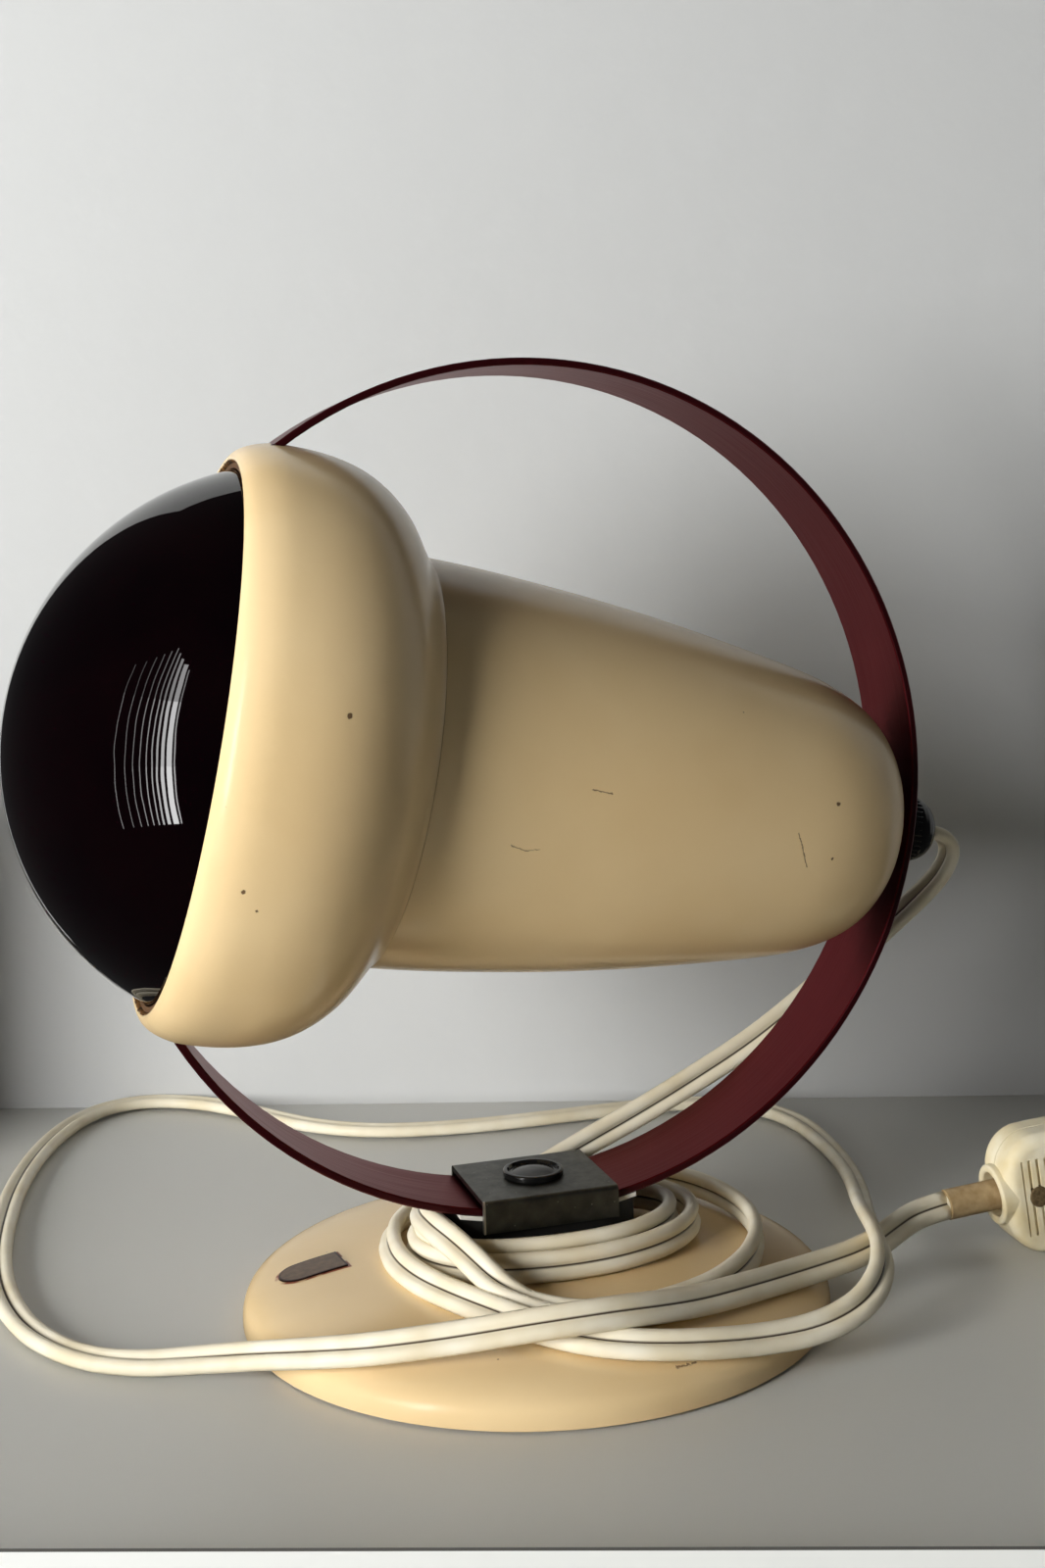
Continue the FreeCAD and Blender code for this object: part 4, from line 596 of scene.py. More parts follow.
def bare_spots(tree, place):
    """How far the paint is off, from 0 to 1."""
    ragged = add(tree, "ShaderNodeTexNoise", {"Vector": place, "Scale": 1 / 0.7, "Detail": 3.0})
    shaken = add(tree, "ShaderNodeVectorMath", {
        0: ragged.outputs["Color"], 1: (RAGGED, RAGGED, RAGGED), 2: place}, operation="MULTIPLY_ADD")
    flat = add(tree, "ShaderNodeVectorMath", {0: shaken, 1: (1.0, DEPTH_SHARE, 1.0)},
               operation="MULTIPLY")
    spots = []
    for middle, size in PAINT_CHIPS:
        away = add(tree, "ShaderNodeVectorMath", {0: flat, 1: pulled(middle)}, operation="DISTANCE")
        spots.append(add(tree, "ShaderNodeMapRange", {
            "Value": away.outputs["Value"], "From Min": size * 1.1, "From Max": size * 0.8}))
    for begin, end in PAINT_CRACKS:
        begin, end = pulled(begin), pulled(end)
        run = end - begin
        gone = add(tree, "ShaderNodeVectorMath", {0: flat, 1: begin}, operation="SUBTRACT")
        share = add(tree, "ShaderNodeVectorMath", {0: gone, 1: run / run.length_squared},
                    operation="DOT_PRODUCT")
        held = add(tree, "ShaderNodeClamp", {"Value": share.outputs["Value"]})
        foot = add(tree, "ShaderNodeVectorMath", {0: held, 1: run, 2: begin},
                   operation="MULTIPLY_ADD")
        away = add(tree, "ShaderNodeVectorMath", {0: flat, 1: foot}, operation="DISTANCE")
        spots.append(add(tree, "ShaderNodeMapRange", {
            "Value": away.outputs["Value"], "From Min": 0.20, "From Max": 0.10, "To Max": 0.85}))
    cells = add(tree, "ShaderNodeTexVoronoi", {"Vector": place, "Scale": 1 / PINHOLES_APART})
    spots.append(add(tree, "ShaderNodeMapRange", {
        "Value": cells.outputs["Distance"], "From Min": 0.022, "From Max": 0.014, "To Max": 0.75}))
    bare = 0.0
    for spot in spots:
        bare = add(tree, "ShaderNodeMath", {0: spot, 1: bare}, operation="MAXIMUM")
    return bare


print("paint chips:", len(PAINT_CHIPS), "cracks:", len(PAINT_CRACKS))

# %% [markdown]
# ## The browned and shaded lip
#
# The bulb is hot, and the paint on the inner corner of the bell's lip, next to the glass, has
# browned and flaked. The same band also holds painted shade: its brown is darkened where the gap
# between the lip and the glass lies in shade. The head is a turned form, so a place on it is told
# by two numbers: how far it is along the head's axis and how far out from it. A dot product gives
# the first and the length of a cross product the second.

# %% Browned paint and painted shade on the lip
HEAD_TILT = math.radians(10.8)
HEAD_AXIS = (-math.cos(HEAD_TILT), 0.0, math.sin(HEAD_TILT))
RING_CENTRE_Z, LIP_R = 127.0, 64.0


def browned_and_shaded_lip(tree, place):
    """How far the lip is browned and holds painted shade, from 0 to 1, and its brown colour there.
    """
    from_ring = add(tree, "ShaderNodeVectorMath", {0: place, 1: (0.0, 0.0, RING_CENTRE_Z)},
                    operation="SUBTRACT")
    along = add(tree, "ShaderNodeVectorMath", {0: from_ring, 1: HEAD_AXIS},
                operation="DOT_PRODUCT")
    across = add(tree, "ShaderNodeVectorMath", {0: from_ring, 1: HEAD_AXIS},
                 operation="CROSS_PRODUCT")
    radius = add(tree, "ShaderNodeVectorMath", {0: across}, operation="LENGTH")
    flake = add(tree, "ShaderNodeTexNoise", {"Vector": place, "Scale": 1 / 1.6, "Detail": 4.0})
    spread = add(tree, "ShaderNodeMath", {0: flake, 1: 1.3}, operation="MULTIPLY")
    reach = add(tree, "ShaderNodeMath", {0: spread, 1: LIP_R + 0.05}, operation="ADD")
    inside = add(tree, "ShaderNodeMath", {0: reach, 1: radius.outputs["Value"]},
                 operation="SUBTRACT")
    close = add(tree, "ShaderNodeMapRange", {"Value": inside, "From Min": 0.0, "From Max": 0.12})
    ahead = add(tree, "ShaderNodeMapRange", {
        "Value": along.outputs["Value"], "From Min": 78.0, "From Max": 79.0})
    # The band next to the glass is partly heat-browned paint and partly painted shade of the gap
    # there.
    browned_and_shaded_by_glass = add(tree, "ShaderNodeMath", {0: close, 1: ahead}, operation="MULTIPLY")
    burnt = add(tree, "ShaderNodeMapRange", {"Value": flake, "From Min": 0.50, "From Max": 0.56})
    brown = add(tree, "ShaderNodeMix", {0: burnt, 6: linear("#6e4a22"), 7: linear("#1c120a")},
                data_type="RGBA")
    return browned_and_shaded_by_glass, brown.outputs[2]


print("head axis:", [round(c, 3) for c in HEAD_AXIS])

# %% [markdown]
# ## Cream stove enamel
#
# The bell, the cone and the foot are spun and pressed sheet with a baked gloss paint. Age turns it
# from ivory to a warm cream, and not evenly. Up close it has the faint skin of sprayed paint. The
# browned lip with its painted shade, the mastic round the badge and the bare spots are laid over it
# one after the other.

# %% Cream stove enamel
CREAM, CREAM_AGED, PRIMER, MASTIC = "#e3c899", "#ddc08f", "#6b5236", "#8a3b2c"


def cream_enamel(name):
    material, tree, shader, place = start(name, CREAM, 0.22)
    bare = bare_spots(tree, place)
    browned_and_shaded_by_glass, brown = browned_and_shaded_lip(tree, place)
    line = add(tree, "ShaderNodeMapRange", {
        "Value": badge_edge(tree, place), "From Min": 0.95, "From Max": 0.65, "To Max": 0.9})
    broken = wandering(tree, place, 5.0, 0.0, 1.0, span=(0.36, 0.48))
    mastic = add(tree, "ShaderNodeMath", {0: line, 1: broken}, operation="MULTIPLY")
    colour = mottled(tree, place, 38.0, (CREAM, CREAM_AGED))
    for share, over in ((browned_and_shaded_by_glass, brown), (mastic, linear(MASTIC)), (bare, linear(PRIMER))):
        colour = add(tree, "ShaderNodeMix", {0: share, 6: colour, 7: over},
                     data_type="RGBA").outputs[2]
    dull = add(tree, "ShaderNodeMath", {0: bare, 1: browned_and_shaded_by_glass}, operation="MAXIMUM")
    gloss = wandering(tree, place, 9.0, 0.18, 0.26, detail=4.0)
    rough = add(tree, "ShaderNodeMix", {0: dull, 2: gloss, 3: 0.8})
    pit = add(tree, "ShaderNodeBump", {
        "Height": dull, "Strength": 0.6, "Distance": 0.0002,
        "Normal": skin(tree, place, 1.4, 0.04, 0.0003)}, invert=True)
    fill(tree, shader, {"Base Color": colour, "Roughness": rough, "Normal": pit})
    return material


finishes["cream_paint"] = cream_enamel("cream_stove_enamel")
print("finish:", finishes["cream_paint"].name)

# %% [markdown]
# ## Red anodised aluminium
#
# The ring is a rolled strip, anodised and dyed: bare metal under a thin coloured glass-hard skin.
# It shines like metal in its own dark red, with fine lines along the strip from rolling, and its
# two edges are darkened almost to black. The edges are less metallic, so they scatter more than
# they mirror. The lines follow the ring, so their pattern reads the angle round the ring's centre
# instead of x and z.

# %% Red anodised aluminium
RING_R, RING_HALF_WIDTH, LINES_STRETCHED = 102.5, 13.0, 60.0
ANODISED_RED, ANODISED_FADED, RING_EDGE_DARK = "#611219", "#6a1b22", "#35090e"


def anodised_ring(name):
    material, tree, shader, place = start(name, ANODISED_RED, 0.33, {
        "Metallic": 1.0, "Specular Tint": linear("#f0e4e4")})
    part = add(tree, "ShaderNodeSeparateXYZ", {0: place}).outputs
    height = add(tree, "ShaderNodeMath", {0: part[2], 1: RING_CENTRE_Z}, operation="SUBTRACT")
    angle = add(tree, "ShaderNodeMath", {0: height, 1: part[0]}, operation="ARCTAN2")
    along = add(tree, "ShaderNodeMath", {0: angle, 1: RING_R / LINES_STRETCHED},
                operation="MULTIPLY")
    strip = add(tree, "ShaderNodeCombineXYZ", {0: along, 1: part[1]})
    from_middle = add(tree, "ShaderNodeMath", {0: part[1]}, operation="ABSOLUTE")
    edge = add(tree, "ShaderNodeMapRange", {
        "Value": from_middle, "From Min": RING_HALF_WIDTH - 0.30,
        "From Max": RING_HALF_WIDTH - 0.05})
    face = mottled(tree, place, 22.0, (ANODISED_RED, ANODISED_FADED), most=0.5)
    red = add(tree, "ShaderNodeMix", {0: edge, 6: face, 7: linear(RING_EDGE_DARK)},
              data_type="RGBA").outputs[2]
    sheen = add(tree, "ShaderNodeMapRange", {"Value": edge, "To Min": 1.0, "To Max": 0.45})
    fill(tree, shader, {
        "Base Color": red, "Metallic": sheen,
        "Roughness": wandering(tree, strip, 0.6, 0.29, 0.42, detail=4.0, span=(0.3, 0.7)),
        "Normal": skin(tree, strip, 0.6, 0.08, 0.0002, detail=4.0)})
    return material


finishes["red_anodised"] = anodised_ring("red_anodised_aluminium")
print("finish:", finishes["red_anodised"].name)

# %% [markdown]
# ## Dull zinc on steel
#
# The saddle is pressed from steel sheet and left with a dull zinc skin, darkened by handling. It
# has a cloudy grey, a few pale flecks, and one corner painted pale: partly rubbed bright by fingers
# and the ring, partly a painted highlight. The same skin, paler, serves for the plated screws, nuts
# and springs.

# %% Dull zinc on steel
SADDLE_HALF_LONG, SADDLE_HALF_WIDE = 16.8, 15.0
PALE_FLECK, RUBBED_AND_HIGHLIT = "#b9b9b4", "#e9e8e2"


def dull_zinc(name, colour, cloud_colour, roughness):
    material, tree, shader, place = start(name, colour, roughness, {"Metallic": 1.0})
    cloudy = mottled(tree, place, 4.0, (colour, cloud_colour), detail=6.0, span=(0.38, 0.68))
    cells = add(tree, "ShaderNodeTexVoronoi", {"Vector": place, "Scale": 1 / 2.6})
    fleck = add(tree, "ShaderNodeMapRange", {
        "Value": cells.outputs["Distance"], "From Min": 0.09, "From Max": 0.05, "To Max": 0.55})
    flecked = add(tree, "ShaderNodeMix", {0: fleck, 6: cloudy, 7: linear(PALE_FLECK)},
                  data_type="RGBA").outputs[2]
    part = add(tree, "ShaderNodeSeparateXYZ", {0: place}).outputs
    to_x = add(tree, "ShaderNodeMath", {0: part[0], 1: SADDLE_HALF_LONG}, operation="ADD")
    to_y = add(tree, "ShaderNodeMath", {0: part[1], 1: SADDLE_HALF_WIDE}, operation="ADD")
    off_x = add(tree, "ShaderNodeMath", {0: to_x}, operation="ABSOLUTE")
    off_y = add(tree, "ShaderNodeMath", {0: to_y}, operation="ABSOLUTE")
    less_y = add(tree, "ShaderNodeMath", {0: off_y, 1: 0.45}, operation="MULTIPLY")
    off = add(tree, "ShaderNodeMath", {0: off_x, 1: less_y}, operation="MAXIMUM")
    # Painted highlight and rubbed metal: the corner edge is mixed towards a pale, bright grey.
    corner = add(tree, "ShaderNodeMapRange", {"Value": off, "From Min": 0.55, "From Max": 0.35})
    grey = add(tree, "ShaderNodeMix", {0: corner, 6: flecked, 7: linear(RUBBED_AND_HIGHLIT)},
               data_type="RGBA").outputs[2]
    fill(tree, shader, {
        "Base Color": grey,
        "Roughness": wandering(tree, place, 1.2, roughness - 0.1, roughness + 0.12, detail=3.0),
        "Normal": skin(tree, place, 0.5, 0.12, 0.0002, detail=4.0)})
    return material


finishes["saddle_steel"] = dull_zinc("dull_zinc_on_steel", "#5a5b58", "#6d6e6a", 0.46)
finishes["steel"] = dull_zinc("zinc_plated_steel", "#9c9d9a", "#b4b5b2", 0.34)
print("finish:", finishes["saddle_steel"].name, finishes["steel"].name)

# %% [markdown]
# ## Mouldings and small metal
#
# The rest are mouldings and small parts: black phenolic for the knob and button, rubber for the
# pads, porcelain, brass, nylon. They share one recipe: two close colours mixed by a noise of the
# grain that the material shows, a roughness, and a bump of the same grain.

# %% One recipe for mouldings and small metal
SMALL_FINISHES = [
    # slot, name, colour, second colour, roughness, metallic, grain in mm, bump
    ("black_bakelite", "black_phenolic_moulding", "#0d0d0d", "#161514", 0.16, 0.0, 3.0, 0.02),
    ("black_rubber", "moulded_black_rubber", "#161615", "#22211f", 0.62, 0.0, 0.8, 0.10),
    ("dark_plate", "oxidised_badge_brass", "#5d4b3c", "#7a6654", 0.42, 0.6, 1.6, 0.10),
    ("cast_iron", "sand_cast_iron", "#3c3b39", "#4b4a47", 0.62, 0.8, 1.8, 0.35),
    ("grey_moulding", "grey_polystyrene_moulding", "#8d8f8e", "#979998", 0.40, 0.0, 6.0, 0.03),
    ("cover_board", "pressed_fibre_board", "#4a3b2d", "#5c4a39", 0.75, 0.0, 1.0, 0.25),
    ("brass", "turned_brass", "#b0905a", "#c2a46c", 0.30, 1.0, 2.0, 0.03),
    ("nylon", "natural_nylon_moulding", "#d9d5c8", "#e3e0d5", 0.42, 0.0, 5.0, 0.02),
    ("seal_fibre", "brown_vulcanised_fibre", "#4a3524", "#6b4f36", 0.70, 0.0, 0.9, 0.35),
    ("cap_metal", "tinned_cap_metal", "#9b9a93", "#b1b0a8", 0.36, 1.0, 1.5, 0.05),
    ("porcelain", "glazed_porcelain", "#e9e6dd", "#f0eee7", 0.12, 0.0, 12.0, 0.01),
    ("tan_sleeve", "aged_rubber_strain_sleeve", "#b39a72", "#9a8058", 0.55, 0.0, 2.2, 0.12),
    ("nickel_pins", "nickel_plated_brass", "#b9b5aa", "#a7a296", 0.24, 1.0, 2.5, 0.02),
    ("brown_screw", "browned_plug_screw", "#8b7654", "#6c5a3f", 0.55, 0.5, 0.7, 0.40),
]


def small_finish(name, colour, second, roughness, metallic, grain, strength):
    material, tree, shader, place = start(name, colour, roughness, {"Metallic": metallic})
    fill(tree, shader, {
        "Base Color": mottled(tree, place, grain, (colour, second), 4.0, (0.35, 0.68)),
        "Roughness": wandering(tree, place, grain, roughness * 0.75, roughness * 1.3, 4.0),
        "Normal": skin(tree, place, grain, strength, 0.0004, 4.0)})
    return material


for slot_name, *recipe in SMALL_FINISHES:
    finishes[slot_name] = small_finish(*recipe)
print("small finishes:", len(SMALL_FINISHES))

# %% [markdown]
# ## The badge's dark outline
#
# The badge's rim is darkened in a thin band just inside its outline. The distance to its outline
# is a function already, so the badge's material only needs one more mix between its colour and its
# shader.

# %% The badge's dark outline
badge_tree = finishes["dark_plate"].node_tree
badge_shader = next(n for n in badge_tree.nodes if n.type == "BSDF_PRINCIPLED")
badge_place = next(n for n in badge_tree.nodes if n.type == "MAPPING")
plain_brass = badge_shader.inputs["Base Color"].links[0].from_socket
outline = add(badge_tree, "ShaderNodeMapRange", {
    "Value": badge_edge(badge_tree, badge_place), "From Min": -0.55, "From Max": -0.30})
rimmed = add(badge_tree, "ShaderNodeMix", {0: outline, 6: plain_brass, 7: linear("#2a1512")},
             data_type="RGBA")
fill(badge_tree, badge_shader, {"Base Color": rimmed.outputs[2]})
print("outline on:", finishes["dark_plate"].name)

# %% [markdown]
# ## Ruby, silvered and clear glass
#
# The bulb's front is clear glass flashed with ruby so deep that it looks black by day. It is as
# smooth as a mirror, and shows a window sharply. The bowl behind it is silvered inside, and the
# stem in it is plain glass.

# %% Ruby, silvered and clear glass
def ruby_glass(name):
    material, tree, shader, place = start(name, "#0b0102", 0.02, {
        "IOR": 1.50, "Specular IOR Level": 0.36})
    fill(tree, shader, {
        "Base Color": mottled(tree, place, 30.0, ("#030001", "#070102")),
        "Normal": skin(tree, place, 16.0, 0.05, 0.001)})
    return material


def silvered_glass(name):
    material, tree, shader, place = start(name, "#c9c9c6", 0.08, {"Metallic": 1.0})
    fill(tree, shader, {"Roughness": wandering(tree, place, 7.0, 0.05, 0.22, detail=4.0)})
    return material


def clear_glass(name):
    material, tree, shader, place = start(name, "#f2f5f4", 0.02, {
        "IOR": 1.52, "Transmission Weight": 1.0})
    fill(tree, shader, {"Normal": skin(tree, place, 5.0, 0.05, 0.0005)})
    return material


finishes["ruby_glass"] = ruby_glass("ruby_flashed_glass")
finishes["silvered_glass"] = silvered_glass("silvered_bulb_glass")
finishes["clear_glass"] = clear_glass("clear_stem_glass")
print("glass:", [finishes[k].name for k in ("ruby_glass", "silvered_glass", "clear_glass")])

# %% [markdown]
# ## Flex and plug
#
# The flex is soft cream PVC. The groove mark that the sweep left on the mesh darkens the web
# between its cores. The plug is an ivory urea moulding, yellowed unevenly.

# %% PVC flex and ivory plug
FLEX_COLOURS, FLEX_GROOVE_DARK = ("#ebe4cf", "#dcd0b2"), "#3d2f22"
PLUG_COLOURS = ("#e8dfc4", "#d8c79b")


def pvc_flex(name):
    material, tree, shader, place = start(name, "#e9e4d4", 0.36)
    groove = add(tree, "ShaderNodeAttribute", attribute_name="groove").outputs["Fac"]
    groove_dark = add(tree, "ShaderNodeMapRange", {"Value": groove, "From Min": 0.55, "From Max": 1.0})
    body = mottled(tree, place, 12.0, FLEX_COLOURS, span=(0.3, 0.7))
    colour = add(tree, "ShaderNodeMix", {0: groove_dark, 6: body, 7: linear(FLEX_GROOVE_DARK)},
                 data_type="RGBA").outputs[2]
    fill(tree, shader, {
        "Base Color": colour, "Roughness": wandering(tree, place, 3.0, 0.28, 0.46),
        "Normal": skin(tree, place, 1.5, 0.04, 0.0003)})
    return material


def ivory_urea(name):
    material, tree, shader, place = start(name, "#e4d9b8", 0.34)
    fill(tree, shader, {
        "Base Color": mottled(tree, place, 9.0, PLUG_COLOURS, detail=3.0),
        "Normal": skin(tree, place, 1.0, 0.06, 0.0003, detail=3.0)})
    return material


finishes["cream_flex"] = pvc_flex("cream_pvc_flex")
finishes["ivory_plug"] = ivory_urea("ivory_urea_moulding")
print("finishes:", len(finishes))

# %% [markdown]
# ## Dress every imported node
#
# The table below gives each CAD node the material slot that it belongs to. A node's mesh is never
# touched: only the material in its object's slots changes.

# %% Give each node its finish
NODE_FINISH = {
    "cream_paint": ["base_shell", "bell_shell", "cone_shell"],
    "cast_iron": ["base_weight"],
    "grey_moulding": ["weight_spacer"],
    "cover_board": ["base_cover"],
    "black_rubber": ["base_pad", "pedestal"],
    "dark_plate": ["badge_plate"],
    "black_bakelite": ["saddle_button", "bulb_insulator", "rear_knob"],
    "brass": ["pedestal_inserts", "bulb_contact", "holder_sleeve", "holder_tongue", "tail_spacer"],
    "steel": ["cover_screws", "pedestal_screws", "pedestal_washers", "press_spring",
              "filament_leads", "filament", "nipple", "holder_nut", "tail_nut", "tail_washer"],
    "saddle_steel": ["saddle"],
    "nylon": ["slide_shoe", "press_block"],
    "red_anodised": ["ring_band", "ring_end_blocks"],
    "seal_fibre": ["bulb_seal"],
    "ruby_glass": ["bulb_front"],
    "silvered_glass": ["bulb_bowl"],
    "cap_metal": ["bulb_cap"],
    "clear_glass": ["bulb_stem"],
    "porcelain": ["holder_body"],
    "cream_flex": ["inner_lead", "plug_lead"],
    "ivory_plug": ["plug_front_half", "plug_rear_half", "plug_collar"],
    "tan_sleeve": ["strain_sleeve"],
    "nickel_pins": ["plug_pins"],
    "brown_screw": ["plug_screw"],
}
dressed = 0
for slot_name, names in NODE_FINISH.items():
    for name in names:
        for material_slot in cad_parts[name].material_slots:
            material_slot.material = finishes[slot_name]
        dressed += 1
print("dressed nodes:", dressed, "of", len(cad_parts))

# %% [markdown]
# ## Turned forms with Geometry Nodes
#
# A knob or a screw is a turned form: a profile carried round an axis. Geometry Nodes can make it by
# a rule. A flat grid is rolled up: one side of the grid becomes the turn round the axis, the other
# runs along the profile. Two curves hold the profile, one for the radius and one for the length.
# Each tree ends by making its instances real and by setting the material, and we keep the result as
# a plain mesh, with its faces turned outwards.

# %% Roll a grid into a turned form
WELD = 0.000005
CRISP_ANGLE = math.radians(38.0)


def set_profile(curve_node, heights):
    """Put (place, height) points on a Float Curve node, straight between them."""
    curve = curve_node.mapping.curves[0]
    while len(curve.points) < len(heights):
        curve.points.new(0.5, 0.5)
    for point, (x, y) in zip(curve.points, heights):
        point.location = (x, y)
        point.handle_type = "VECTOR"
    curve_node.mapping.update()


def new_tree(name, inputs):
    """An empty geometry tree with a geometry output and these named inputs."""
    tree = bpy.data.node_groups.new(name, "GeometryNodeTree")
    tree.interface.new_socket("Geometry", in_out="OUTPUT", socket_type="NodeSocketGeometry")
    for label, kind in inputs:
        tree.interface.new_socket(label, in_out="INPUT", socket_type=kind)
    return tree, add(tree, "NodeGroupInput").outputs


def rolled(tree, steps_round, steps_along, radius, length, profile, dent=None):
    """A grid rolled into a turned form on +X; profile has (place, radius, length) from 0 to 1."""
    grid = add(tree, "GeometryNodeMeshGrid", {
        "Size X": 1.0, "Size Y": 1.0, "Vertices X": steps_round, "Vertices Y": steps_along})
    part = add(tree, "ShaderNodeSeparateXYZ", {0: grid.outputs["UV Map"]}).outputs
    angle = add(tree, "ShaderNodeMath", {0: part[0], 1: 2 * math.pi}, operation="MULTIPLY")
    radii = add(tree, "ShaderNodeFloatCurve", {"Value": part[1]})
    set_profile(radii, [(place, out) for place, out, _ in profile])
    lengths = add(tree, "ShaderNodeFloatCurve", {"Value": part[1]})
    set_profile(lengths, [(place, along) for place, _, along in profile])
    far = add(tree, "ShaderNodeMath", {0: radii, 1: radius}, operation="MULTIPLY")
    if dent:
        far = add(tree, "ShaderNodeMath", {0: far, 1: dent(tree, angle, part[1])},
                  operation="SUBTRACT")
    along = add(tree, "ShaderNodeMath", {0: lengths, 1: length}, operation="MULTIPLY")
    cosine = add(tree, "ShaderNodeMath", {0: angle}, operation="COSINE")
    sine = add(tree, "ShaderNodeMath", {0: angle}, operation="SINE")
    spot = add(tree, "ShaderNodeCombineXYZ", {
        0: along, 1: add(tree, "ShaderNodeMath", {0: far, 1: cosine}, operation="MULTIPLY"),
        2: add(tree, "ShaderNodeMath", {0: far, 1: sine}, operation="MULTIPLY")})
    return add(tree, "GeometryNodeSetPosition", {"Geometry": grid, "Position": spot})


def finish_tree(tree, geometry, material):
    """Make instances real, weld the seam, set the material, and wire the output."""
    real = add(tree, "GeometryNodeRealizeInstances", {"Geometry": geometry})
    weld = add(tree, "GeometryNodeMergeByDistance", {"Geometry": real, "Distance": WELD})
    soft = add(tree, "GeometryNodeSetShadeSmooth", {"Geometry": weld})
    paint = add(tree, "GeometryNodeSetMaterial", {"Geometry": soft, "Material": material})
    add(tree, "NodeGroupOutput", {0: paint})


def baked(name, tree, values):
    """Run a tree once on an empty mesh object and return the result as a plain mesh object."""
    carrier = bpy.data.objects.new(name + "_tree", bpy.data.meshes.new(name + "_tree"))
    scene.collection.objects.link(carrier)
    modifier = carrier.modifiers.new(name, "NODES")
    modifier.node_group = tree
    for item in tree.interface.items_tree:
        if item.in_out == "INPUT" and item.name in values:
            modifier[item.identifier] = values[item.name]
    bpy.context.view_layer.update()
    evaluated = carrier.evaluated_get(bpy.context.evaluated_depsgraph_get())
    mesh = bpy.data.meshes.new_from_object(evaluated)
    mesh.name = name
    bpy.data.objects.remove(carrier)
    # The grid brings an empty material slot along, so the slots are made anew.
    mesh.materials.clear()
    mesh.materials.append(values["Material"])
    sides = bmesh.new()
    sides.from_mesh(mesh)
    bmesh.ops.recalc_face_normals(sides, faces=sides.faces)
    for face in sides.faces:
        face.material_index = 0
    sides.to_mesh(mesh)
    sides.free()
    mesh.set_sharp_from_angle(angle=CRISP_ANGLE)
    piece = bpy.data.objects.new(name, mesh)
    scene.collection.objects.link(piece)
    print(name, "faces:", len(mesh.polygons), "material:", mesh.materials[0].name)
    return piece


print("turned forms weld at", WELD / MM, "mm")

# %% [markdown]
# ## A ribbed knob
#
# The knob at the ring's tail is a phenolic moulding: a turned form with fine ribs round its rim,
# made for fingers. A wave round the axis cuts the grooves between the ribs, and it fades out before
# the dome. The number of ribs sets the grid's steps too, so that every rib gets the same few faces.

# %% The ribbed knob
KNOB_R, KNOB_L, KNOB_RIM, KNOB_TIP_R, KNOB_BORE_R, KNOB_HOLE_R = 8.6, 10.6, 4.0, 4.4, 5.05, 2.45
KNOB_RIBS, KNOB_RIB_DEPTH, KNOB_BASE = 36, 0.42, 102.55
STEPS_PER_RIB, KNOB_STEPS_ALONG = 8, 101
KNOB_PROFILE = [
    # place along the profile, radius and length in millimetres
    (0.00, KNOB_BORE_R, 0.0), (0.12, KNOB_R - 0.4, 0.0), (0.15, KNOB_R - 0.1, 0.1),
    (0.18, KNOB_R, 0.4), (0.34, KNOB_R, KNOB_RIM), (0.42, 8.42, 5.6), (0.49, 7.95, 7.1),
    (0.56, 7.15, 8.5), (0.63, 6.10, 9.6), (0.69, 5.00, 10.3), (0.73, KNOB_TIP_R, KNOB_L),
    (0.78, KNOB_HOLE_R + 0.3, KNOB_L), (0.80, KNOB_HOLE_R, KNOB_L - 0.3),
    (0.86, KNOB_HOLE_R, KNOB_L - 2.4), (0.91, KNOB_BORE_R, KNOB_L - 2.4), (1.00, KNOB_BORE_R, 0.0),
]


def rib_dent(tree, angle, along):
    """Round-bottomed grooves on the rim, fading out before the dome."""
    turns = add(tree, "ShaderNodeMath", {0: angle, 1: float(KNOB_RIBS)}, operation="MULTIPLY")
    wave = add(tree, "ShaderNodeMath", {0: turns}, operation="COSINE")
    raised = add(tree, "ShaderNodeMath", {0: wave, 1: 0.5, 2: 0.5}, operation="MULTIPLY_ADD")
    groove = add(tree, "ShaderNodeMath", {0: raised, 1: 1.6}, operation="POWER")
    after = add(tree, "ShaderNodeMapRange", {"Value": along, "From Min": 0.150, "From Max": 0.165})
    before = add(tree, "ShaderNodeMapRange", {"Value": along, "From Min": 0.405, "From Max": 0.370})
    on_rim = add(tree, "ShaderNodeMath", {0: after, 1: before}, operation="MULTIPLY")
    dent = add(tree, "ShaderNodeMath", {0: groove, 1: on_rim}, operation="MULTIPLY")
    return add(tree, "ShaderNodeMath", {0: dent, 1: KNOB_RIB_DEPTH * MM}, operation="MULTIPLY")


tree, given = new_tree("ribbed_knob", [
    ("Radius", "NodeSocketFloat"), ("Length", "NodeSocketFloat"), ("Steps round", "NodeSocketInt"),
    ("Place", "NodeSocketVector"), ("Turn", "NodeSocketVector"), ("Material", "NodeSocketMaterial")])
knob_form = rolled(tree, given["Steps round"], KNOB_STEPS_ALONG, given["Radius"], given["Length"],
                   [(place, r / KNOB_R, l / KNOB_L) for place, r, l in KNOB_PROFILE],
                   dent=rib_dent)
placed = add(tree, "GeometryNodeTransform", {
    "Geometry": knob_form, "Translation": given["Place"], "Rotation": given["Turn"]})
finish_tree(tree, placed, given["Material"])
knob_place = Vector((0.0, 0.0, RING_CENTRE_Z)) - KNOB_BASE * Vector(HEAD_AXIS)
knob = baked("ribbed_knob", tree, {
    "Radius": KNOB_R * MM, "Length": KNOB_L * MM, "Steps round": KNOB_RIBS * STEPS_PER_RIB + 1,
    "Place": list(knob_place * MM), "Turn": [0.0, HEAD_TILT, 0.0],
    "Material": finishes["black_bakelite"]})
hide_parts("rear_knob")
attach(knob, "head")

# %% [markdown]
# ## Three slotted screws under the foot
#
# The cover under the foot is held by three small cheese-head screws. One screw is modelled and
# placed three times: instances on the points of a circle are the natural way, and a box cut out of
# the head makes the slot. The heads point down, towards the table. No fitter lines up the slots, so
# each screw is turned by a random angle from a fixed seed.

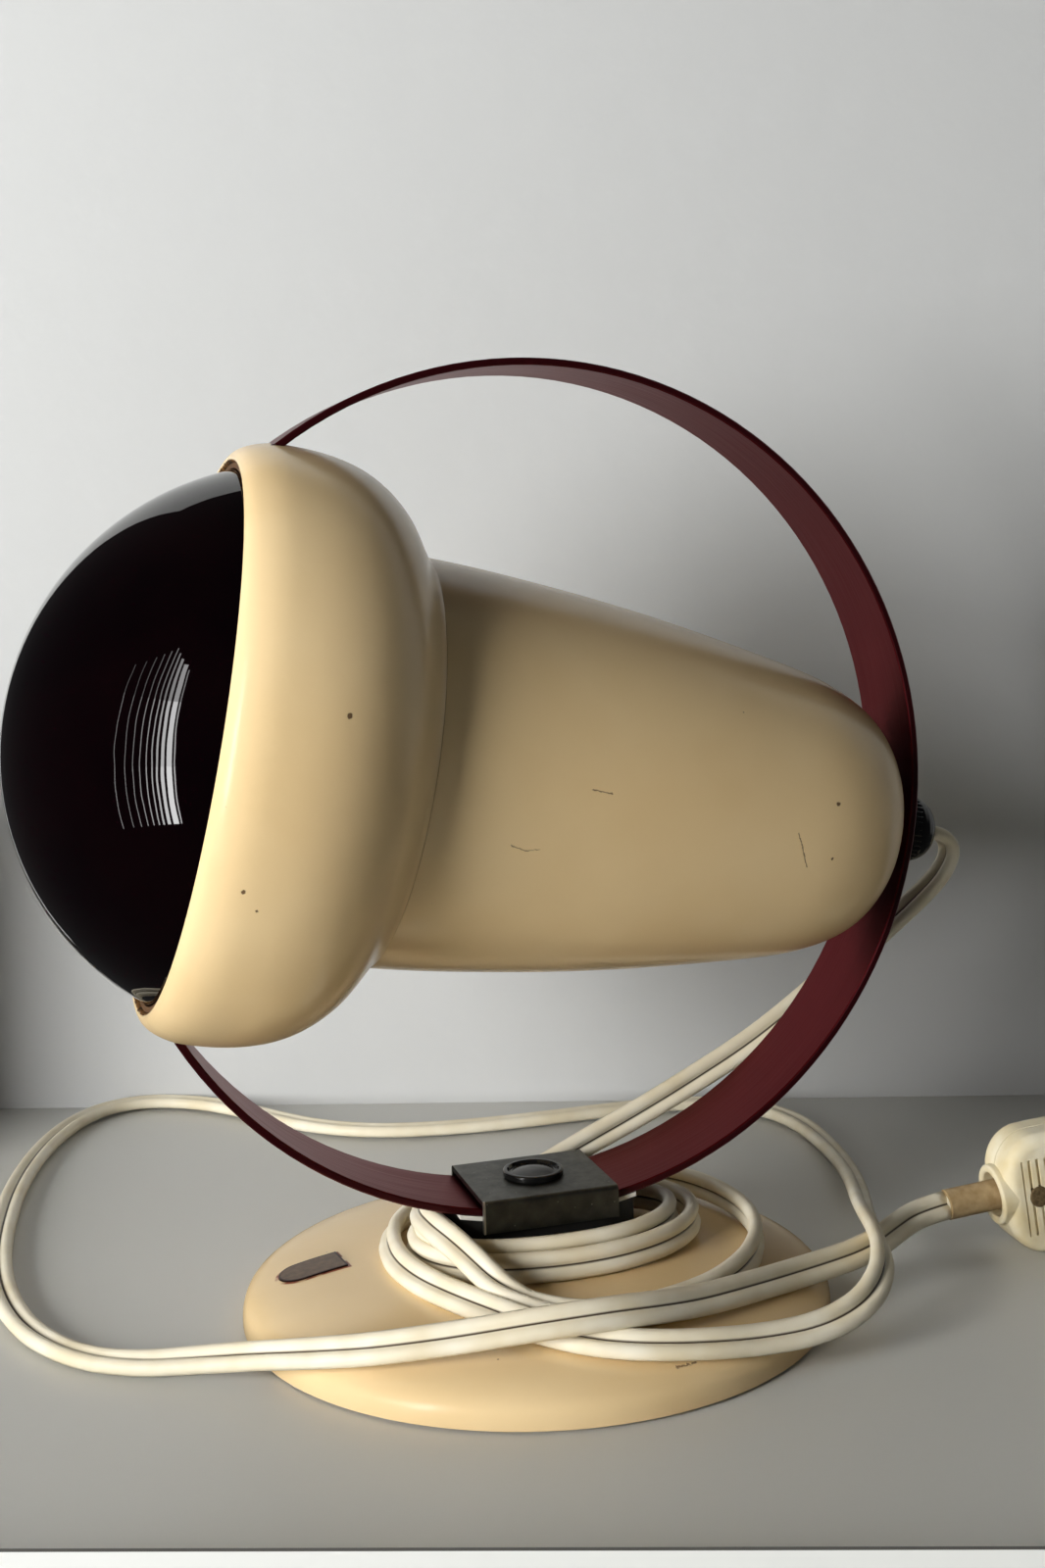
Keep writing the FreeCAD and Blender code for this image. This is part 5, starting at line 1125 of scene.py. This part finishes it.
# %% The cover screws
SCREW_CIRCLE_R, SCREW_HEAD_R, SCREW_HEAD_T, SCREW_HEAD_LOW = 48.0, 2.2, 0.9, 0.6
SCREW_SHANK_R, SCREW_L, SCREW_COUNT, SCREW_SEED = 1.2, 4.5, 3, 4
SCREW_STEPS_ROUND, SCREW_STEPS_ALONG = 49, 60
SLOT_DEEP, SLOT_WIDE, SLOT_LONG = 0.7, 0.5, 6.0
SCREW_PROFILE = [
    # place along the profile, radius and length in millimetres
    (0.00, 0.0, 0.0), (0.20, SCREW_HEAD_R - 0.45, 0.02), (0.28, SCREW_HEAD_R - 0.12, 0.14),
    (0.34, SCREW_HEAD_R, 0.36), (0.44, SCREW_HEAD_R, SCREW_HEAD_T),
    (0.56, SCREW_SHANK_R, SCREW_HEAD_T), (0.86, SCREW_SHANK_R, SCREW_L - 0.4),
    (0.92, SCREW_SHANK_R - 0.4, SCREW_L), (1.00, 0.0, SCREW_L),
]
tree, given = new_tree("cover_screws", [
    ("Head radius", "NodeSocketFloat"), ("Length", "NodeSocketFloat"),
    ("Circle radius", "NodeSocketFloat"), ("Count", "NodeSocketInt"),
    ("Slot", "NodeSocketVector"), ("Material", "NodeSocketMaterial")])
screw = rolled(tree, SCREW_STEPS_ROUND, SCREW_STEPS_ALONG, given["Head radius"], given["Length"],
               [(place, r / SCREW_HEAD_R, l / SCREW_L) for place, r, l in SCREW_PROFILE])
closed = add(tree, "GeometryNodeMergeByDistance", {"Geometry": screw, "Distance": WELD})
outward = add(tree, "GeometryNodeFlipFaces", {"Mesh": closed})
slot_box = add(tree, "GeometryNodeMeshCube", {"Size": given["Slot"]})
slotted = add(tree, "GeometryNodeMeshBoolean", {"Mesh 1": outward, "Mesh 2": slot_box},
              operation="DIFFERENCE", solver="EXACT")
head_down = add(tree, "GeometryNodeTransform", {
    "Geometry": slotted, "Rotation": (0.0, -math.pi / 2, 0.0)})
circle = add(tree, "GeometryNodeMeshCircle", {
    "Vertices": given["Count"], "Radius": given["Circle radius"]})
spin = add(tree, "FunctionNodeRandomValue", {2: 0.0, 3: 6.28, "Seed": SCREW_SEED},
           data_type="FLOAT")
turn = add(tree, "ShaderNodeCombineXYZ", {2: spin.outputs[1]})
set_out = add(tree, "GeometryNodeInstanceOnPoints", {
    "Points": circle, "Instance": head_down, "Rotation": turn})
raised = add(tree, "GeometryNodeTransform", {
    "Geometry": set_out, "Translation": (0.0, 0.0, SCREW_HEAD_LOW * MM),
    "Rotation": (0.0, 0.0, math.pi / 2)})
finish_tree(tree, raised, given["Material"])
screws = baked("slotted_cover_screws", tree, {
    "Head radius": SCREW_HEAD_R * MM, "Length": SCREW_L * MM,
    "Circle radius": SCREW_CIRCLE_R * MM, "Count": SCREW_COUNT,
    "Slot": [SLOT_DEEP * MM, SLOT_WIDE * MM, SLOT_LONG * MM], "Material": finishes["steel"]})
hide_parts("cover_screws")
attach(screws, "stand")

# %% [markdown]
# ## The flex's material
#
# The flex starts on the head and ends on the stand, with the plug and its sleeve on its far end.
# Here it gets its material, and the CAD model's three pieces of the cord are hidden.

# %% The flex's material
flex.data.materials.append(finishes["cream_flex"])
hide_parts("cord_drop", "cord_coil", "cord_lead")
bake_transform(flex)
